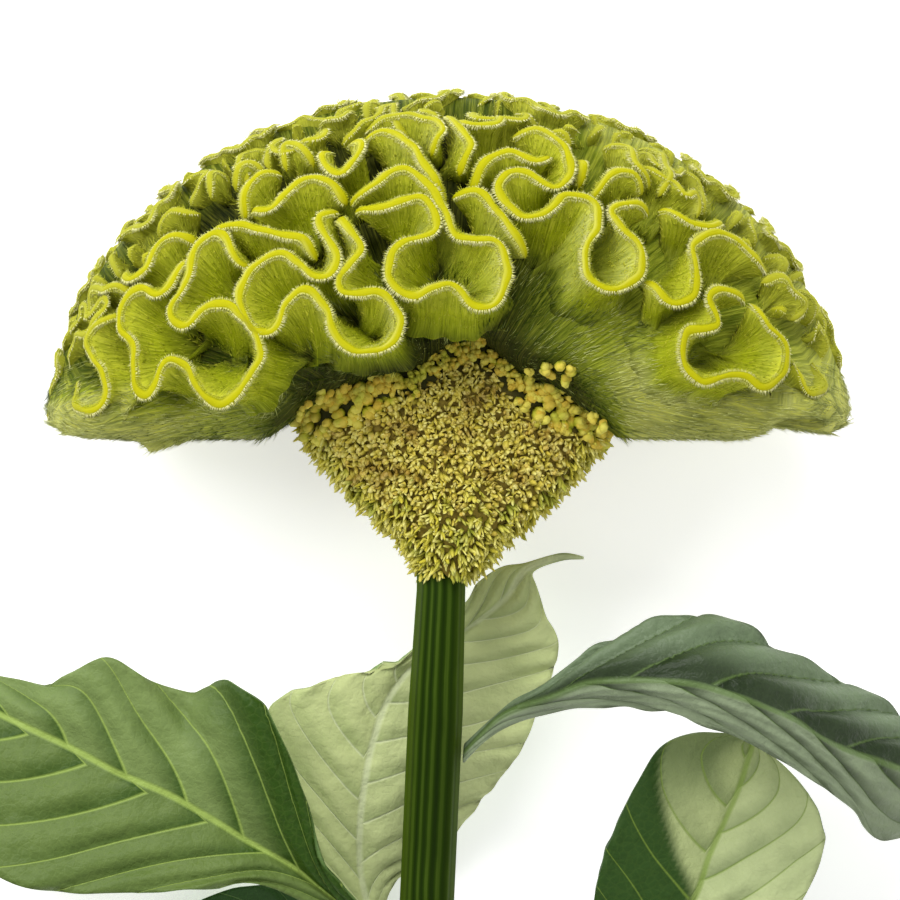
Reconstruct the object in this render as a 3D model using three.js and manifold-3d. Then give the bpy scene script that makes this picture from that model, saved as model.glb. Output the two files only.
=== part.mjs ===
// A cut cockscomb celosia lying on its back: a crested flower head, the fan of small florets under it,
// a ribbed stem and its leaves. Millimetres, +Z up from the surface that the flower lies on, with the
// stem along Y, the head towards +Y and the face of the head towards +Z.
import * as THREE from "three";
import { ConvexGeometry } from "three/addons/geometries/ConvexGeometry.js";
import { mergeVertices } from "three/addons/utils/BufferGeometryUtils.js";
import Module from "manifold-3d";

const wasm = await Module();
wasm.setup();

// ---- Driving dimensions ------------------------------------------------------------------------------

// The head's outline is a dome: a half ellipse seen from the front, blunt from front to back.
const HEAD_HALF_WIDTH = 81;
const HEAD_RISE = 67;
const HEAD_HALF_DEPTH = 42;
const HEAD_MIDDLE_Y = 34;
const HEAD_UNDERCUT = 16;
const HEAD_MIDDLE_Z = 37.5;
const DEPTH_POWER = 2.4;

// The comb's edge is one thin wall thrown into folds. Its crown runs on the dome.
const FOLD_GAP = 11.2;
const BACK_GAP = 14.5;
const FOLD_STEP = 3;
const GROWTH_ROUNDS = 150;
const GROWTH_ROOM = 0.85;
const GROWTH_CHANCE = 0.08;
const GROWTH_SEED = 7;
const MOST_PUSH = 0.9;
const SPRING_SHARE = 0.3;
const STRAIGHTENING_SHARE = 0.12;
const GROWS_FROM = 0.7 * FOLD_STEP;
const SPLITS_FROM = 1.4 * FOLD_STEP;
const CROWDED_BELOW = 0.4 * FOLD_STEP;
const FREE_FRONT_LIMIT = 13;
const BACK_GAP_Z = 5;
const FOLD_GAP_Z = HEAD_MIDDLE_Z - 10;
const FACE_REACH = 0.985;
const RIM_END_Y = 36;
const RIM_ARCH = 20;
const RIM_ARCH_HALF_WIDTH = 52;
const CROWN_STEP = 1;
const SHOULDER_SOFTENING = 2.2;
const FOOT_SOFTENING = 5.5;
const SECTION_TOLERANCE = 0.8;
const LONGEST_SECTION = 8.5;
const WALL_CROWN_DEPTH = 3.2;
const WALL_CROWN_HALF = 1.3;
const WALL_FOOT_HALF = 3.2;
const WALL_MOST_DEPTH = 22;
const WALL_PROBE_STEP = 0.5;
const WALL_SINK = 1.5;
const LEAN_AT_TOP = 0.25;
const LEAN_AT_RIM = 0.75;
const LEAN_FADE = 30;
const CORE_DEPTH = 12.5;
const CORE_HEART_Y = 60;
const CORE_BALL_DETAIL = 4;
const CORE_HALVINGS = 24;

// The wavy crown line over the top of the head, between its face and its back.
const TOP_LINE_WAVES = 11;
const TOP_LINE_WAVE_HEIGHT = 10;
const TOP_LINE_OFFSET = -1;
const TOP_LINE_POINTS = 140;
const TOP_LINE_MARGIN = 0.03;

// The comb's underside: a gable over the fan, and an arch in front of it and behind.
const FAN_EDGE_Y = 31;
const FAN_GABLE = 19;
const FAN_GABLE_HALF_WIDTH = 34;
const FAN_GABLE_POWER = 0.9;
const UNDERSIDE_END_Y = 34;
const UNDERSIDE_ARCH = 21;
const UNDERSIDE_ARCH_HALF_WIDTH = 56;
const GABLE_HALF_DEPTH = 13;
const ARCH_HALF_DEPTH = 29;

// The fan of florets between the stem and the comb.
const FAN_TOP_Y = 56;
const FAN_SEAT_Y = 50;
const FAN_HEART_Y = 38;
const FAN_HEART_SPREAD = 0.4;
const FLORET_ROOM = 2.7;
const FLORET_ROW = 5.2;
const FLORET_PITCH = 5.6;
const FLORET_SEED = 23;
const FLORET_ROOT = 1.6;
const FLORET_RADIUS = [2.6, 3.1];
const FLORET_LOW_LENGTH = 4.2;
const FLORET_HIGH_LENGTH = 2.3;
const FLORET_LOW_DROOP = 1.1;
const FLORET_HIGH_DROOP = 0.05;
const FLORET_SHAKE = 0.8;

// The stem, from its cut end to the neck under the fan.
const STEM_LENGTH = 101;
const NECK_RADIUS = 4.7;
const STEM_RADIUS = 5.3;
const NECK_Z = HEAD_MIDDLE_Z;
const STEM_RIBS = 8;
const STEM_TOP_Y = 2;
const STEM_TOP_X = -1.4;
const STEM_LEAN = 4.6;
const STEM_REST_GAP = 0.2;
const STEM_LEVELS = 14;
const NECK_LENGTH = 25;
const RIB_SWELL = 1.035;
const FURROW_SWELL = 0.975;

const SEAT_GAP = 0.3;
const BLADE_THICKNESS = 0.7;
const BLADE_ROWS = 14;
const BLADE_COLUMNS = 6;

// ---- The drawn folds ---------------------------------------------------------------------------------

// Crown lines of the folds on the face of the head, as [x, y] seen from the front, y up from the neck.
const FACE_FOLDS = {
  left_end_loop: [
    [-78, 41.4], [-73.4, 35.8], [-71.4, 35.6], [-69.6, 36.6], [-68.4, 40.8], [-69.2, 43.4], [-72.2, 47],
    [-73, 49.2], [-72.6, 51.4], [-71, 53.6], [-66.4, 56.4],
  ],
  left_four_lobes: [
    [-39.2, 65.6], [-41, 64.8], [-42.6, 66], [-44, 70.6], [-45.8, 71.8], [-48, 71.2], [-50, 69.8],
    [-51.4, 67.4], [-51.2, 64.4], [-52, 62], [-55.2, 58.2], [-55.8, 56], [-55.2, 53.8], [-53.4, 52.4],
    [-51.6, 53.2], [-48.2, 56.8], [-46, 57.8], [-44, 57.2], [-42.2, 55.4], [-37.4, 49.6], [-37.2, 47.6],
    [-40.2, 44], [-41.8, 39.4], [-43.4, 37.6], [-45.6, 37], [-48, 37.8], [-52.2, 44.4], [-53.6, 46],
    [-55.2, 46.6], [-57, 45.8], [-58.2, 43.8], [-59.2, 39.2], [-60.4, 38.2], [-63.4, 42], [-63, 49.8],
    [-66, 51.6], [-66, 55.4], [-64, 59.8], [-62.2, 60.8], [-58.4, 58.8], [-56.6, 59.6], [-55.2, 61.6],
    [-54, 66.6], [-52.6, 68.2],
  ],
  left_edge_row: [
    [-75.2, 53.6], [-73.6, 58], [-70.2, 60.8], [-68, 61.4], [-64, 59.8],
  ],
  left_centre_lobes: [
    [-22, 77.8], [-25.6, 75.4], [-26.2, 73.4], [-25.6, 71.6], [-22.6, 68.2], [-22, 66], [-22.6, 63.8],
    [-25.8, 62.2], [-32.6, 67.6], [-34.6, 67.6], [-36.4, 66.6], [-41, 61.8], [-42, 59.6], [-40.4, 53.8],
    [-38.6, 51.8], [-36.6, 51], [-34.6, 52], [-32, 57.8], [-30.8, 59.6], [-29, 60.4], [-25.2, 58.4],
    [-23.2, 51.4], [-19.6, 48.2], [-17, 47.4], [-12, 48.6], [-10.2, 50.4], [-9.4, 52.6], [-10.6, 57],
    [-14, 59.8], [-20, 58.8], [-21.6, 59.8], [-22.2, 61.8], [-21.4, 63.8], [-17.8, 66.8], [-17, 68.8],
    [-22, 75], [-22.4, 76.6],
  ],
  left_shoulder_wave: [
    [-49.6, 72], [-40.4, 73.2], [-35.2, 71.4], [-30.4, 71.2], [-28.6, 70.4], [-26.8, 66.8],
  ],
  centre_loop: [
    [-20.6, 78.4], [-16.6, 79.6], [-10.6, 84.6], [-8.2, 84.6], [-5.8, 83], [-1.6, 78.2], [0.8, 71.4],
    [3, 70], [9.8, 69.8], [11.2, 67.6], [11.8, 62.4], [11, 59.6], [9.4, 57.2], [7.2, 56], [4.8, 56.8],
    [2, 60.6], [0.4, 61.6], [-1.6, 61.4], [-5.6, 59], [-7.8, 58.6], [-11.4, 61.2], [-12.2, 63.6],
    [-10.8, 68.4], [-9, 70], [-4.4, 70.2], [-2.8, 71], [-2.2, 73.6], [-2.8, 76.4], [-4.8, 78.2],
    [-7, 79.2], [-14.4, 76], [-19.6, 77.6],
  ],
  centre_top_wave: [
    [-0.2, 78.8], [-4.6, 85], [-5.6, 87.6], [-13.2, 92.6], [-18.2, 91.8],
  ],
  top_lobe: [
    [-3.6, 88.8], [-3, 91.6], [-0.6, 91.6], [-1.4, 93.4], [-3.2, 94.8], [-8, 96], [-15.4, 94.6],
    [-17, 95.4],
  ],
  cream_lobe_end: [
    [-4.2, 88], [1.8, 88.4],
  ],
  right_of_centre_ridge: [
    [0.2, 80], [4, 80.6], [8.4, 78.4], [12, 72], [15.8, 68.6], [16.2, 67.4],
  ],
  top_right_hook: [
    [2, 84.6], [4.6, 88.6], [4.4, 90.6], [1.4, 92.8], [0.4, 97.6],
  ],
  right_top_wave: [
    [4.4, 81], [6.6, 85], [10.4, 87.8], [12.8, 88], [18.8, 85.6], [20.2, 87], [20, 89.4],
  ],
  right_pear_loop: [
    [12.6, 93.4], [14.8, 93.8], [17.6, 93], [22.4, 90], [24, 88], [24.8, 85.4], [24.2, 82.8],
    [22.6, 80.6], [20.2, 80.4], [16.6, 83.6], [14.4, 84.4], [10.2, 82.2], [9.2, 80.6], [11, 79.6],
    [13.2, 75.6], [17.2, 74.2], [19, 75], [21.4, 78.2], [23.2, 79], [25.8, 79.4], [30, 77],
    [30.6, 75.4], [27.2, 68], [28, 62.6], [29.8, 60.8], [32, 60], [36.6, 61.4], [38.4, 63.4],
    [39.2, 66], [37.2, 70.8], [32.2, 75.2], [32.6, 76.8], [36.8, 77.8], [42, 77],
  ],
  right_arch: [
    [28.8, 78.6], [32.8, 83.4], [34.6, 84.4], [37, 84.2], [40.6, 81],
  ],
  right_saddle: [
    [43, 78.4], [48.6, 73.6], [50.8, 72.8], [53, 73], [57, 75.4],
  ],
  right_hanging_lobes: [
    [40.4, 63.6], [42.4, 58.8], [44.8, 57.4], [47.4, 57.4], [49.2, 58.8], [50, 61.2], [48.8, 68.6],
    [50, 70.2], [54.6, 71.8], [57, 71.4], [59.2, 69.8], [62.6, 65.8], [66.2, 65.8],
  ],
  right_end_loop: [
    [61.8, 58.8], [59.4, 58.6], [55.4, 60.6], [53.2, 60.4], [52, 58.6], [54.8, 52.8], [53.6, 51.8],
    [49.8, 53.2], [48, 51.8], [46.8, 49.4], [46.8, 46.6], [47.8, 44], [49.6, 42], [52, 41.2],
    [57.8, 43.8], [62.6, 40.2], [65, 41], [66.8, 42.6], [68.4, 47.6], [67.6, 49.8], [62.8, 54.8],
    [62.4, 56.8], [64.4, 63.6], [66, 64.4],
  ],
  right_tip_lobe: [
    [71, 44.4], [71, 42], [72, 40], [74, 39.2], [76, 39.8], [77.4, 41.6], [77.8, 44.2], [76.8, 49.6],
  ],
  right_tip_inner: [
    [72.8, 44.6], [76.2, 46.8],
  ],
  shoulder_hook: [
    [-42.2, 75.4], [-39.6, 82], [-35.6, 85.4], [-31, 86.6], [-29.2, 85.6], [-28.2, 84],
  ],
  shoulder_ridge: [
    [-41, 77.6], [-37, 76], [-35, 76.4], [-30.6, 81.4], [-28.6, 82.6], [-26, 82.8], [-23.6, 82],
    [-20.2, 78.6],
  ],
  left_slope_row: [
    [-67.2, 65.2], [-64.6, 62], [-63, 62.2], [-61.4, 63.6], [-58, 70], [-53.6, 71.8], [-51.2, 71.6],
  ],
  top_left_bell: [
    [-23.6, 90.4], [-25.2, 89.2], [-25.4, 87.6], [-22.2, 82.8], [-17.6, 88], [-17.2, 90], [-18.8, 91.4],
    [-21, 91.6],
  ],
  top_left_row: [
    [-27.4, 95], [-25, 94.4], [-18.4, 98],
  ],
  top_row: [
    [1.6, 96.6], [1.8, 95], [3, 93.8], [9.4, 93.6], [10.8, 94], [11.4, 95.6], [11, 97.4],
  ],
  right_top_row_low: [
    [27, 82], [27.8, 84], [26.6, 88.6],
  ],
  right_top_row_mid: [
    [31.4, 91.4], [34, 91.2], [38.4, 85.4], [42.2, 82.4],
  ],
  right_top_row_high: [
    [39.8, 92], [44, 87], [44.6, 84], [43.8, 80.8],
  ],
  right_edge_row: [
    [64.8, 63.8], [67.4, 63.2], [69.8, 61.4], [72.6, 56], [71.6, 54.4],
  ],
  right_edge_small: [
    [74.4, 63], [76, 60], [77, 54],
  ],
  left_row_1: [
    [-52.4, 74.6], [-50, 75.4],
  ],
  left_row_2: [
    [-49.6, 80], [-48.8, 82.4], [-45.2, 86],
  ],
  left_row_3: [
    [-44.6, 82], [-43.4, 84.4], [-41.6, 86], [-39.6, 86.8], [-38.2, 85.6],
  ],
  left_row_4: [
    [-33, 86], [-33.6, 88.4], [-32.6, 90.4], [-30.2, 90], [-27.6, 86.8],
  ],
};

// ---- Small tools -------------------------------------------------------------------------------------

const { clamp, lerp, smoothstep } = THREE.MathUtils;

function seededRandom(seed) {
  let state = seed;
  return () => {
    state = (state * 1664525 + 1013904223) % 4294967296;
    return state / 4294967296;
  };
}

// A value read off a list of [at, value] pairs by straight lines between them.
function readOff(pairs, at) {
  const next = pairs.findIndex(([place]) => place >= at);
  if (next === 0) return pairs[0][1];
  if (next < 0) return pairs[pairs.length - 1][1];
  const [fromPlace, fromValue] = pairs[next - 1];
  const [toPlace, toValue] = pairs[next];
  return lerp(fromValue, toValue, (at - fromPlace) / (toPlace - fromPlace));
}

function solidFrom(geometry) {
  const bare = geometry.clone();
  bare.deleteAttribute("normal");
  bare.deleteAttribute("uv");
  const merged = mergeVertices(bare, 1e-4);
  const vertProperties = merged.attributes.position.array;
  const triVerts = new Uint32Array(merged.index.array);
  return new wasm.Manifold(new wasm.Mesh({ numProp: 3, vertProperties, triVerts }));
}

function geometryFrom(solid) {
  const mesh = solid.getMesh();
  const geometry = new THREE.BufferGeometry();
  geometry.setAttribute("position", new THREE.BufferAttribute(mesh.vertProperties, 3));
  geometry.setIndex(new THREE.BufferAttribute(mesh.triVerts, 1));
  return geometry;
}

// Joins many solids two by two, so that each join stays small for as long as it can.
function joinAll(solids) {
  let level = solids;
  while (level.length > 1) {
    const joined = [];
    for (let i = 0; i < level.length; i += 2) {
      joined.push(i + 1 < level.length ? level[i].add(level[i + 1]) : level[i]);
    }
    level = joined;
  }
  return level[0];
}

// The largest body of a solid: scraps are dropped and sealed hollows are filled.
function largestBody(solid) {
  return solid.decompose().reduce((best, body) => (body.volume() > best.volume() ? body : best));
}

// A closed tube through rings of equally many points, with flat ends.
function loft(rings) {
  const count = rings[0].length;
  const points = rings.flat();
  const faces = [];
  for (let ring = 0; ring < rings.length - 1; ring++) {
    for (let i = 0; i < count; i++) {
      const a = ring * count + i;
      const b = ring * count + ((i + 1) % count);
      faces.push(a, b, b + count, a, b + count, a + count);
    }
  }
  const last = (rings.length - 1) * count;
  for (let i = 1; i < count - 1; i++) {
    faces.push(0, i + 1, i);
    faces.push(last, last + i, last + i + 1);
  }
  const geometry = new THREE.BufferGeometry().setFromPoints(points);
  geometry.setIndex(faces);
  return geometry;
}

// ---- The head's dome ---------------------------------------------------------------------------------

// 1 on the dome, less inside: a sum of powers of the offsets over the half sizes, shrunk by some depth.
function domeLevel(point, depth = 0) {
  const rise = point.y > HEAD_MIDDLE_Y ? HEAD_RISE : HEAD_UNDERCUT;
  const across = (point.x / (HEAD_HALF_WIDTH - depth)) ** 2;
  const up = ((point.y - HEAD_MIDDLE_Y) / (rise - depth)) ** 2;
  const out = Math.abs((point.z - HEAD_MIDDLE_Z) / (HEAD_HALF_DEPTH - depth)) ** DEPTH_POWER;
  return across + up + out;
}

function domeSlope(point) {
  const rise = point.y > HEAD_MIDDLE_Y ? HEAD_RISE : HEAD_UNDERCUT;
  const out = (point.z - HEAD_MIDDLE_Z) / HEAD_HALF_DEPTH;
  return new THREE.Vector3(
    (2 * point.x) / HEAD_HALF_WIDTH ** 2,
    (2 * (point.y - HEAD_MIDDLE_Y)) / rise ** 2,
    (Math.sign(out) * DEPTH_POWER * Math.abs(out) ** (DEPTH_POWER - 1)) / HEAD_HALF_DEPTH,
  );
}

// Moves a point onto the dome along its slope, by Newton's steps.
function settleOnDome(point) {
  for (let step = 0; step < 8; step++) {
    const slope = domeSlope(point);
    point.addScaledVector(slope, (1 - domeLevel(point)) / slope.lengthSq());
  }
  return point;
}

// The point of the dome in front of, or with side -1 behind, a place on the head's outline drawing.
function liftToDome(x, y, side) {
  const reach = Math.hypot(x / HEAD_HALF_WIDTH, (y - HEAD_MIDDLE_Y) / HEAD_RISE);
  const pull = Math.min(1, FACE_REACH / reach);
  const out = HEAD_HALF_DEPTH * (1 - (reach * pull) ** 2) ** (1 / DEPTH_POWER);
  const middleY = HEAD_MIDDLE_Y + (y - HEAD_MIDDLE_Y) * pull;
  return new THREE.Vector3(x * pull, middleY, HEAD_MIDDLE_Z + side * out);
}

// The lowest height at which a fold may run, higher above the fan than at the head's two ends.
function rimHeight(x) {
  return RIM_END_Y + RIM_ARCH * Math.max(0, 1 - (x / RIM_ARCH_HALF_WIDTH) ** 2);
}

// ---- Fold lines --------------------------------------------------------------------------------------

function evenPoints(points, step) {
  const curve = new THREE.CatmullRomCurve3(points, false, "centripetal");
  return curve.getSpacedPoints(Math.max(1, Math.round(curve.getLength() / step)));
}

function faceLine(outline, side) {
  const points = outline.map(([x, y]) => liftToDome(side * x, y, side));
  return evenPoints(points, FOLD_STEP).map(settleOnDome);
}

// A wavy line over the top of the head, from one end to the other, between its face and its back.
function topLine() {
  const points = [];
  for (let i = 0; i <= TOP_LINE_POINTS; i++) {
    const turn = Math.PI * lerp(TOP_LINE_MARGIN, 1 - TOP_LINE_MARGIN, i / TOP_LINE_POINTS);
    const wave = Math.sin((2 * Math.PI * TOP_LINE_WAVES * i) / TOP_LINE_POINTS);
    const out = TOP_LINE_OFFSET + TOP_LINE_WAVE_HEIGHT * wave;
    const reach = Math.sqrt(1 - Math.abs(out / HEAD_HALF_DEPTH) ** DEPTH_POWER);
    const x = -HEAD_HALF_WIDTH * reach * Math.cos(turn);
    const y = HEAD_MIDDLE_Y + HEAD_RISE * reach * Math.sin(turn);
    points.push(new THREE.Vector3(x, y, HEAD_MIDDLE_Z + out));
  }
  return evenPoints(points, FOLD_STEP).map(settleOnDome);
}

// Keeps a free fold above the rim and behind the drawn face.
function keepInRoom(point) {
  point.y = Math.max(point.y, rimHeight(point.x));
  point.z = Math.min(point.z, HEAD_MIDDLE_Z + FREE_FRONT_LIMIT);
  return settleOnDome(point);
}

function foldGap(point) {
  return lerp(BACK_GAP, FOLD_GAP, smoothstep(point.z, BACK_GAP_Z, FOLD_GAP_Z));
}

// Folds grow as the living edge does: each point springs to its neighbours on the line and is pushed
// off by every other stretch nearer than the gap, and a stretch with room beside it grows a point more.
function growFolds(fixedLines, freeLines) {
  const random = seededRandom(GROWTH_SEED);
  const near = Math.ceil(FOLD_GAP / FOLD_STEP) + 1;
  const fixedPoints = fixedLines.flat();
  for (let round = 0; round < GROWTH_ROUNDS; round++) {
    const all = fixedPoints.map((point) => ({ point, line: -1, at: 0 }));
    freeLines.forEach((line, l) => line.forEach((point, at) => all.push({ point, line: l, at })));
    freeLines = freeLines.map((line, l) => {
      const rooms = line.map(() => Infinity);
      const moved = line.map((point, at) => {
        const gap = foldGap(point);
        const push = new THREE.Vector3();
        for (const other of all) {
          const beside = other.line === l && Math.abs(other.at - at) <= near;
          const distance = point.distanceTo(other.point);
          if (beside || distance === 0) continue;
          rooms[at] = Math.min(rooms[at], distance / gap);
          if (distance > gap) continue;
          const share = (1 - distance / gap) / distance;
          push.addScaledVector(point.clone().sub(other.point), share);
        }
        push.clampLength(0, MOST_PUSH);
        for (const beside of [line[at - 1], line[at + 1]]) {
          if (!beside) continue;
          const pull = beside.clone().sub(point);
          push.addScaledVector(pull, SPRING_SHARE * (1 - FOLD_STEP / Math.max(pull.length(), 0.1)));
        }
        const isEnd = at === 0 || at === line.length - 1;
        const middle = isEnd ? point : line[at - 1].clone().add(line[at + 1]).multiplyScalar(0.5);
        return keepInRoom(point.clone().lerp(middle, STRAIGHTENING_SHARE).add(push));
      });
      return growLine(moved, rooms, random);
    });
  }
  return freeLines;
}

function growLine(line, rooms, random) {
  const grown = [line[0]];
  for (let i = 1; i < line.length; i++) {
    const length = line[i].distanceTo(line[i - 1]);
    const hasRoom = Math.min(rooms[i], rooms[i - 1]) > GROWTH_ROOM;
    const grows = length > GROWS_FROM && hasRoom && random() < GROWTH_CHANCE;
    if (length > SPLITS_FROM || grows) grown.push(line[i].clone().lerp(line[i - 1], 0.5));
    const crowded = length < CROWDED_BELOW && i < line.length - 1;
    if (!crowded) grown.push(line[i]);
  }
  return grown;
}

// ---- The comb ----------------------------------------------------------------------------------------

// A line's points averaged with their neighbours under a bell of the given width, in steps.
function smoothedLine(line, width) {
  const reach = Math.ceil(2.5 * width);
  return line.map((_, at) => {
    const sum = new THREE.Vector3();
    let weight = 0;
    for (let i = Math.max(0, at - reach); i <= Math.min(line.length - 1, at + reach); i++) {
      const share = Math.exp(-0.5 * ((i - at) / width) ** 2);
      sum.addScaledVector(line[i], share);
      weight += share;
    }
    return sum.divideScalar(weight);
  });
}

// Where the walls lean: straight into the head at its top, and down towards the fan near the rim.
function wallLean(point) {
  const inward = domeSlope(point).normalize().negate();
  const heart = new THREE.Vector3(FAN_HEART_SPREAD * point.x, FAN_HEART_Y, HEAD_MIDDLE_Z);
  const fanward = heart.sub(point).normalize();
  const low = 1 - smoothstep(point.y - rimHeight(point.x), 0, LEAN_FADE);
  return inward.lerp(fanward, lerp(LEAN_AT_TOP, LEAN_AT_RIM, low)).normalize();
}

// The fan's upper outline on the head's face, and the comb's underside around it.
function fanOutline(x) {
  return FAN_EDGE_Y + FAN_GABLE * Math.max(0, 1 - Math.abs(x) / FAN_GABLE_HALF_WIDTH) ** FAN_GABLE_POWER;
}

function undersideHeight(point) {
  const share = Math.max(0, 1 - (point.x / UNDERSIDE_ARCH_HALF_WIDTH) ** 2);
  const out = Math.abs(point.z - HEAD_MIDDLE_Z) - GABLE_HALF_DEPTH;
  const toArch = clamp(out / (ARCH_HALF_DEPTH - GABLE_HALF_DEPTH), 0, 1);
  return lerp(fanOutline(point.x), UNDERSIDE_END_Y + UNDERSIDE_ARCH * share, toArch);
}

function inCore(point) {
  return domeLevel(point, CORE_DEPTH) < 1 && point.y > undersideHeight(point);
}

// The comb's flesh under its folds: a ball of faces, each corner run out to the core's surface.
function coreGeometry() {
  const centre = new THREE.Vector3(0, CORE_HEART_Y, HEAD_MIDDLE_Z);
  const ball = new THREE.IcosahedronGeometry(1, CORE_BALL_DETAIL);
  ball.deleteAttribute("normal");
  ball.deleteAttribute("uv");
  const core = mergeVertices(ball, 1e-3);
  const places = core.attributes.position;
  const place = new THREE.Vector3();
  for (let i = 0; i < places.count; i++) {
    const outward = new THREE.Vector3().fromBufferAttribute(places, i).normalize();
    let inside = 0;
    let outside = HEAD_HALF_WIDTH;
    for (let step = 0; step < CORE_HALVINGS; step++) {
      const middle = (inside + outside) / 2;
      const isInside = inCore(place.copy(centre).addScaledVector(outward, middle));
      if (isInside) inside = middle;
      else outside = middle;
    }
    place.copy(centre).addScaledVector(outward, inside);
    places.setXYZ(i, place.x, place.y, place.z);
  }
  return core;
}

// The places along a fine line that its bends need: a place is kept where the line leaves the chord.
function neededPlaces(line, tolerance, longest) {
  const needed = [0];
  let from = 0;
  for (let to = 2; to < line.length; to++) {
    const chord = new THREE.Line3(line[from], line[to]);
    const foot = new THREE.Vector3();
    let bulge = 0;
    for (let i = from + 1; i < to; i++) {
      chord.closestPointToPoint(line[i], true, foot);
      bulge = Math.max(bulge, foot.distanceTo(line[i]));
    }
    if (bulge > tolerance || chord.distance() > longest) {
      from = to - 1;
      needed.push(from);
    }
  }
  if (from < line.length - 1) needed.push(line.length - 1);
  return needed;
}

// One fold line's wall, as pairs of small hulls: a crown strip on a spreading foot. Deeper down the
// wall follows a smoother line, so each bend of the crown opens as a funnel or hangs as a lip.
function wallHulls(line) {
  const fine = evenPoints(line, CROWN_STEP).map(settleOnDome);
  const shoulder = smoothedLine(fine, SHOULDER_SOFTENING);
  const foot = smoothedLine(fine, FOOT_SOFTENING);
  const sections = neededPlaces(fine, SECTION_TOLERANCE, LONGEST_SECTION).map((at) => {
    const lean = wallLean(fine[at]);
    const before = foot[Math.max(0, at - 2)];
    const after = foot[Math.min(foot.length - 1, at + 2)];
    const side = after.clone().sub(before).cross(lean).normalize();
    const shoulderPoint = shoulder[at].clone().addScaledVector(lean, WALL_CROWN_DEPTH);
    const footPoint = foot[at].clone();
    let depth = 0;
    while (depth < WALL_MOST_DEPTH && !inCore(footPoint)) {
      footPoint.addScaledVector(lean, WALL_PROBE_STEP);
      depth += WALL_PROBE_STEP;
    }
    footPoint.addScaledVector(lean, WALL_SINK);
    return {
      crown: [fine[at]],
      shoulder: spread(shoulderPoint, side, WALL_CROWN_HALF),
      foot: spread(footPoint, side, WALL_FOOT_HALF),
    };
  });
  const hulls = [];
  for (let i = 1; i < sections.length; i++) {
    const from = sections[i - 1];
    const to = sections[i];
    hulls.push([...from.crown, ...to.crown, ...from.shoulder, ...to.shoulder]);
    hulls.push([...from.shoulder, ...to.shoulder, ...from.foot, ...to.foot]);
  }
  return hulls.map((points) => solidFrom(new ConvexGeometry(points)));
}

function spread(point, side, half) {
  return [point.clone().addScaledVector(side, half), point.clone().addScaledVector(side, -half)];
}

function isLong(line) {
  return line[0].distanceTo(line[line.length >> 1]) > 2 * FOLD_STEP;
}

function combSolid() {
  const outlines = Object.values(FACE_FOLDS);
  const faceLines = outlines.map((outline) => faceLine(outline, 1));
  const backLines = outlines.map((outline) => faceLine(outline, -1)).filter((line) => line.length > 6);
  const grownLines = growFolds(faceLines, [topLine(), ...backLines]).filter(isLong);
  const lines = [...faceLines, ...grownLines];
  const walls = joinAll(lines.flatMap(wallHulls));
  const room = new THREE.BoxGeometry(300, 300, 100).translate(0, 0, 50);
  return walls.add(solidFrom(coreGeometry())).intersect(solidFrom(room)).subtract(solidFrom(fanSocket()));
}

// ---- The fan of florets ------------------------------------------------------------------------------

// Half width, half depth and middle of the fan's body by height above the neck.
const FAN_HALF_WIDTH = [
  [-1, 6.4], [4, 6.6], [8, 8.6], [12, 12.8], [16, 16.8], [24, 24.4], [30, 29.4], [36, 31], [56, 30],
];
const FAN_HALF_DEPTH = [[-1, 6.4], [4, 6.6], [12, 8.4], [30, 11.6], [40, 13], [56, 11]];
const FAN_MIDDLE_X = [[-1, -1.4], [4, -0.4], [12, 1.4], [30, 1.4], [56, 0]];
const FAN_SIDES = 16;

function fanRing(y, margin, count = FAN_SIDES) {
  const halfWidth = readOff(FAN_HALF_WIDTH, y) + margin;
  const halfDepth = readOff(FAN_HALF_DEPTH, y) + margin;
  const middle = readOff(FAN_MIDDLE_X, y);
  const ring = [];
  for (let i = 0; i < count; i++) {
    const turn = (2 * Math.PI * i) / count;
    const x = middle + halfWidth * Math.cos(turn);
    ring.push(new THREE.Vector3(x, y, HEAD_MIDDLE_Z - halfDepth * Math.sin(turn)));
  }
  return ring;
}

// The room that the comb leaves for the fan: wide round the florets, and close at the fan's seat.
function fanSocket() {
  const wide = [20, 24, 30, 36, 43, FAN_SEAT_Y].map((y) => fanRing(y, FLORET_ROOM));
  const close = [FAN_SEAT_Y + 0.01, FAN_TOP_Y + SEAT_GAP].map((y) => fanRing(y, SEAT_GAP));
  return loft([...wide, ...close]);
}

// One floret: a bud with four sides, its root sunk in the fan.
function floretPoints(root, outward, length, radius) {
  const aside = new THREE.Vector3(0, 0, 1).cross(outward);
  if (aside.lengthSq() < 0.05) aside.set(1, 0, 0);
  aside.normalize();
  const up = outward.clone().cross(aside);
  const waist = root.clone().addScaledVector(outward, 0.5 * length);
  return [
    root.clone().addScaledVector(outward, -FLORET_ROOT),
    root.clone().addScaledVector(outward, length),
    ...spread(waist, aside, radius),
    ...spread(waist, up, radius),
  ];
}

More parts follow.
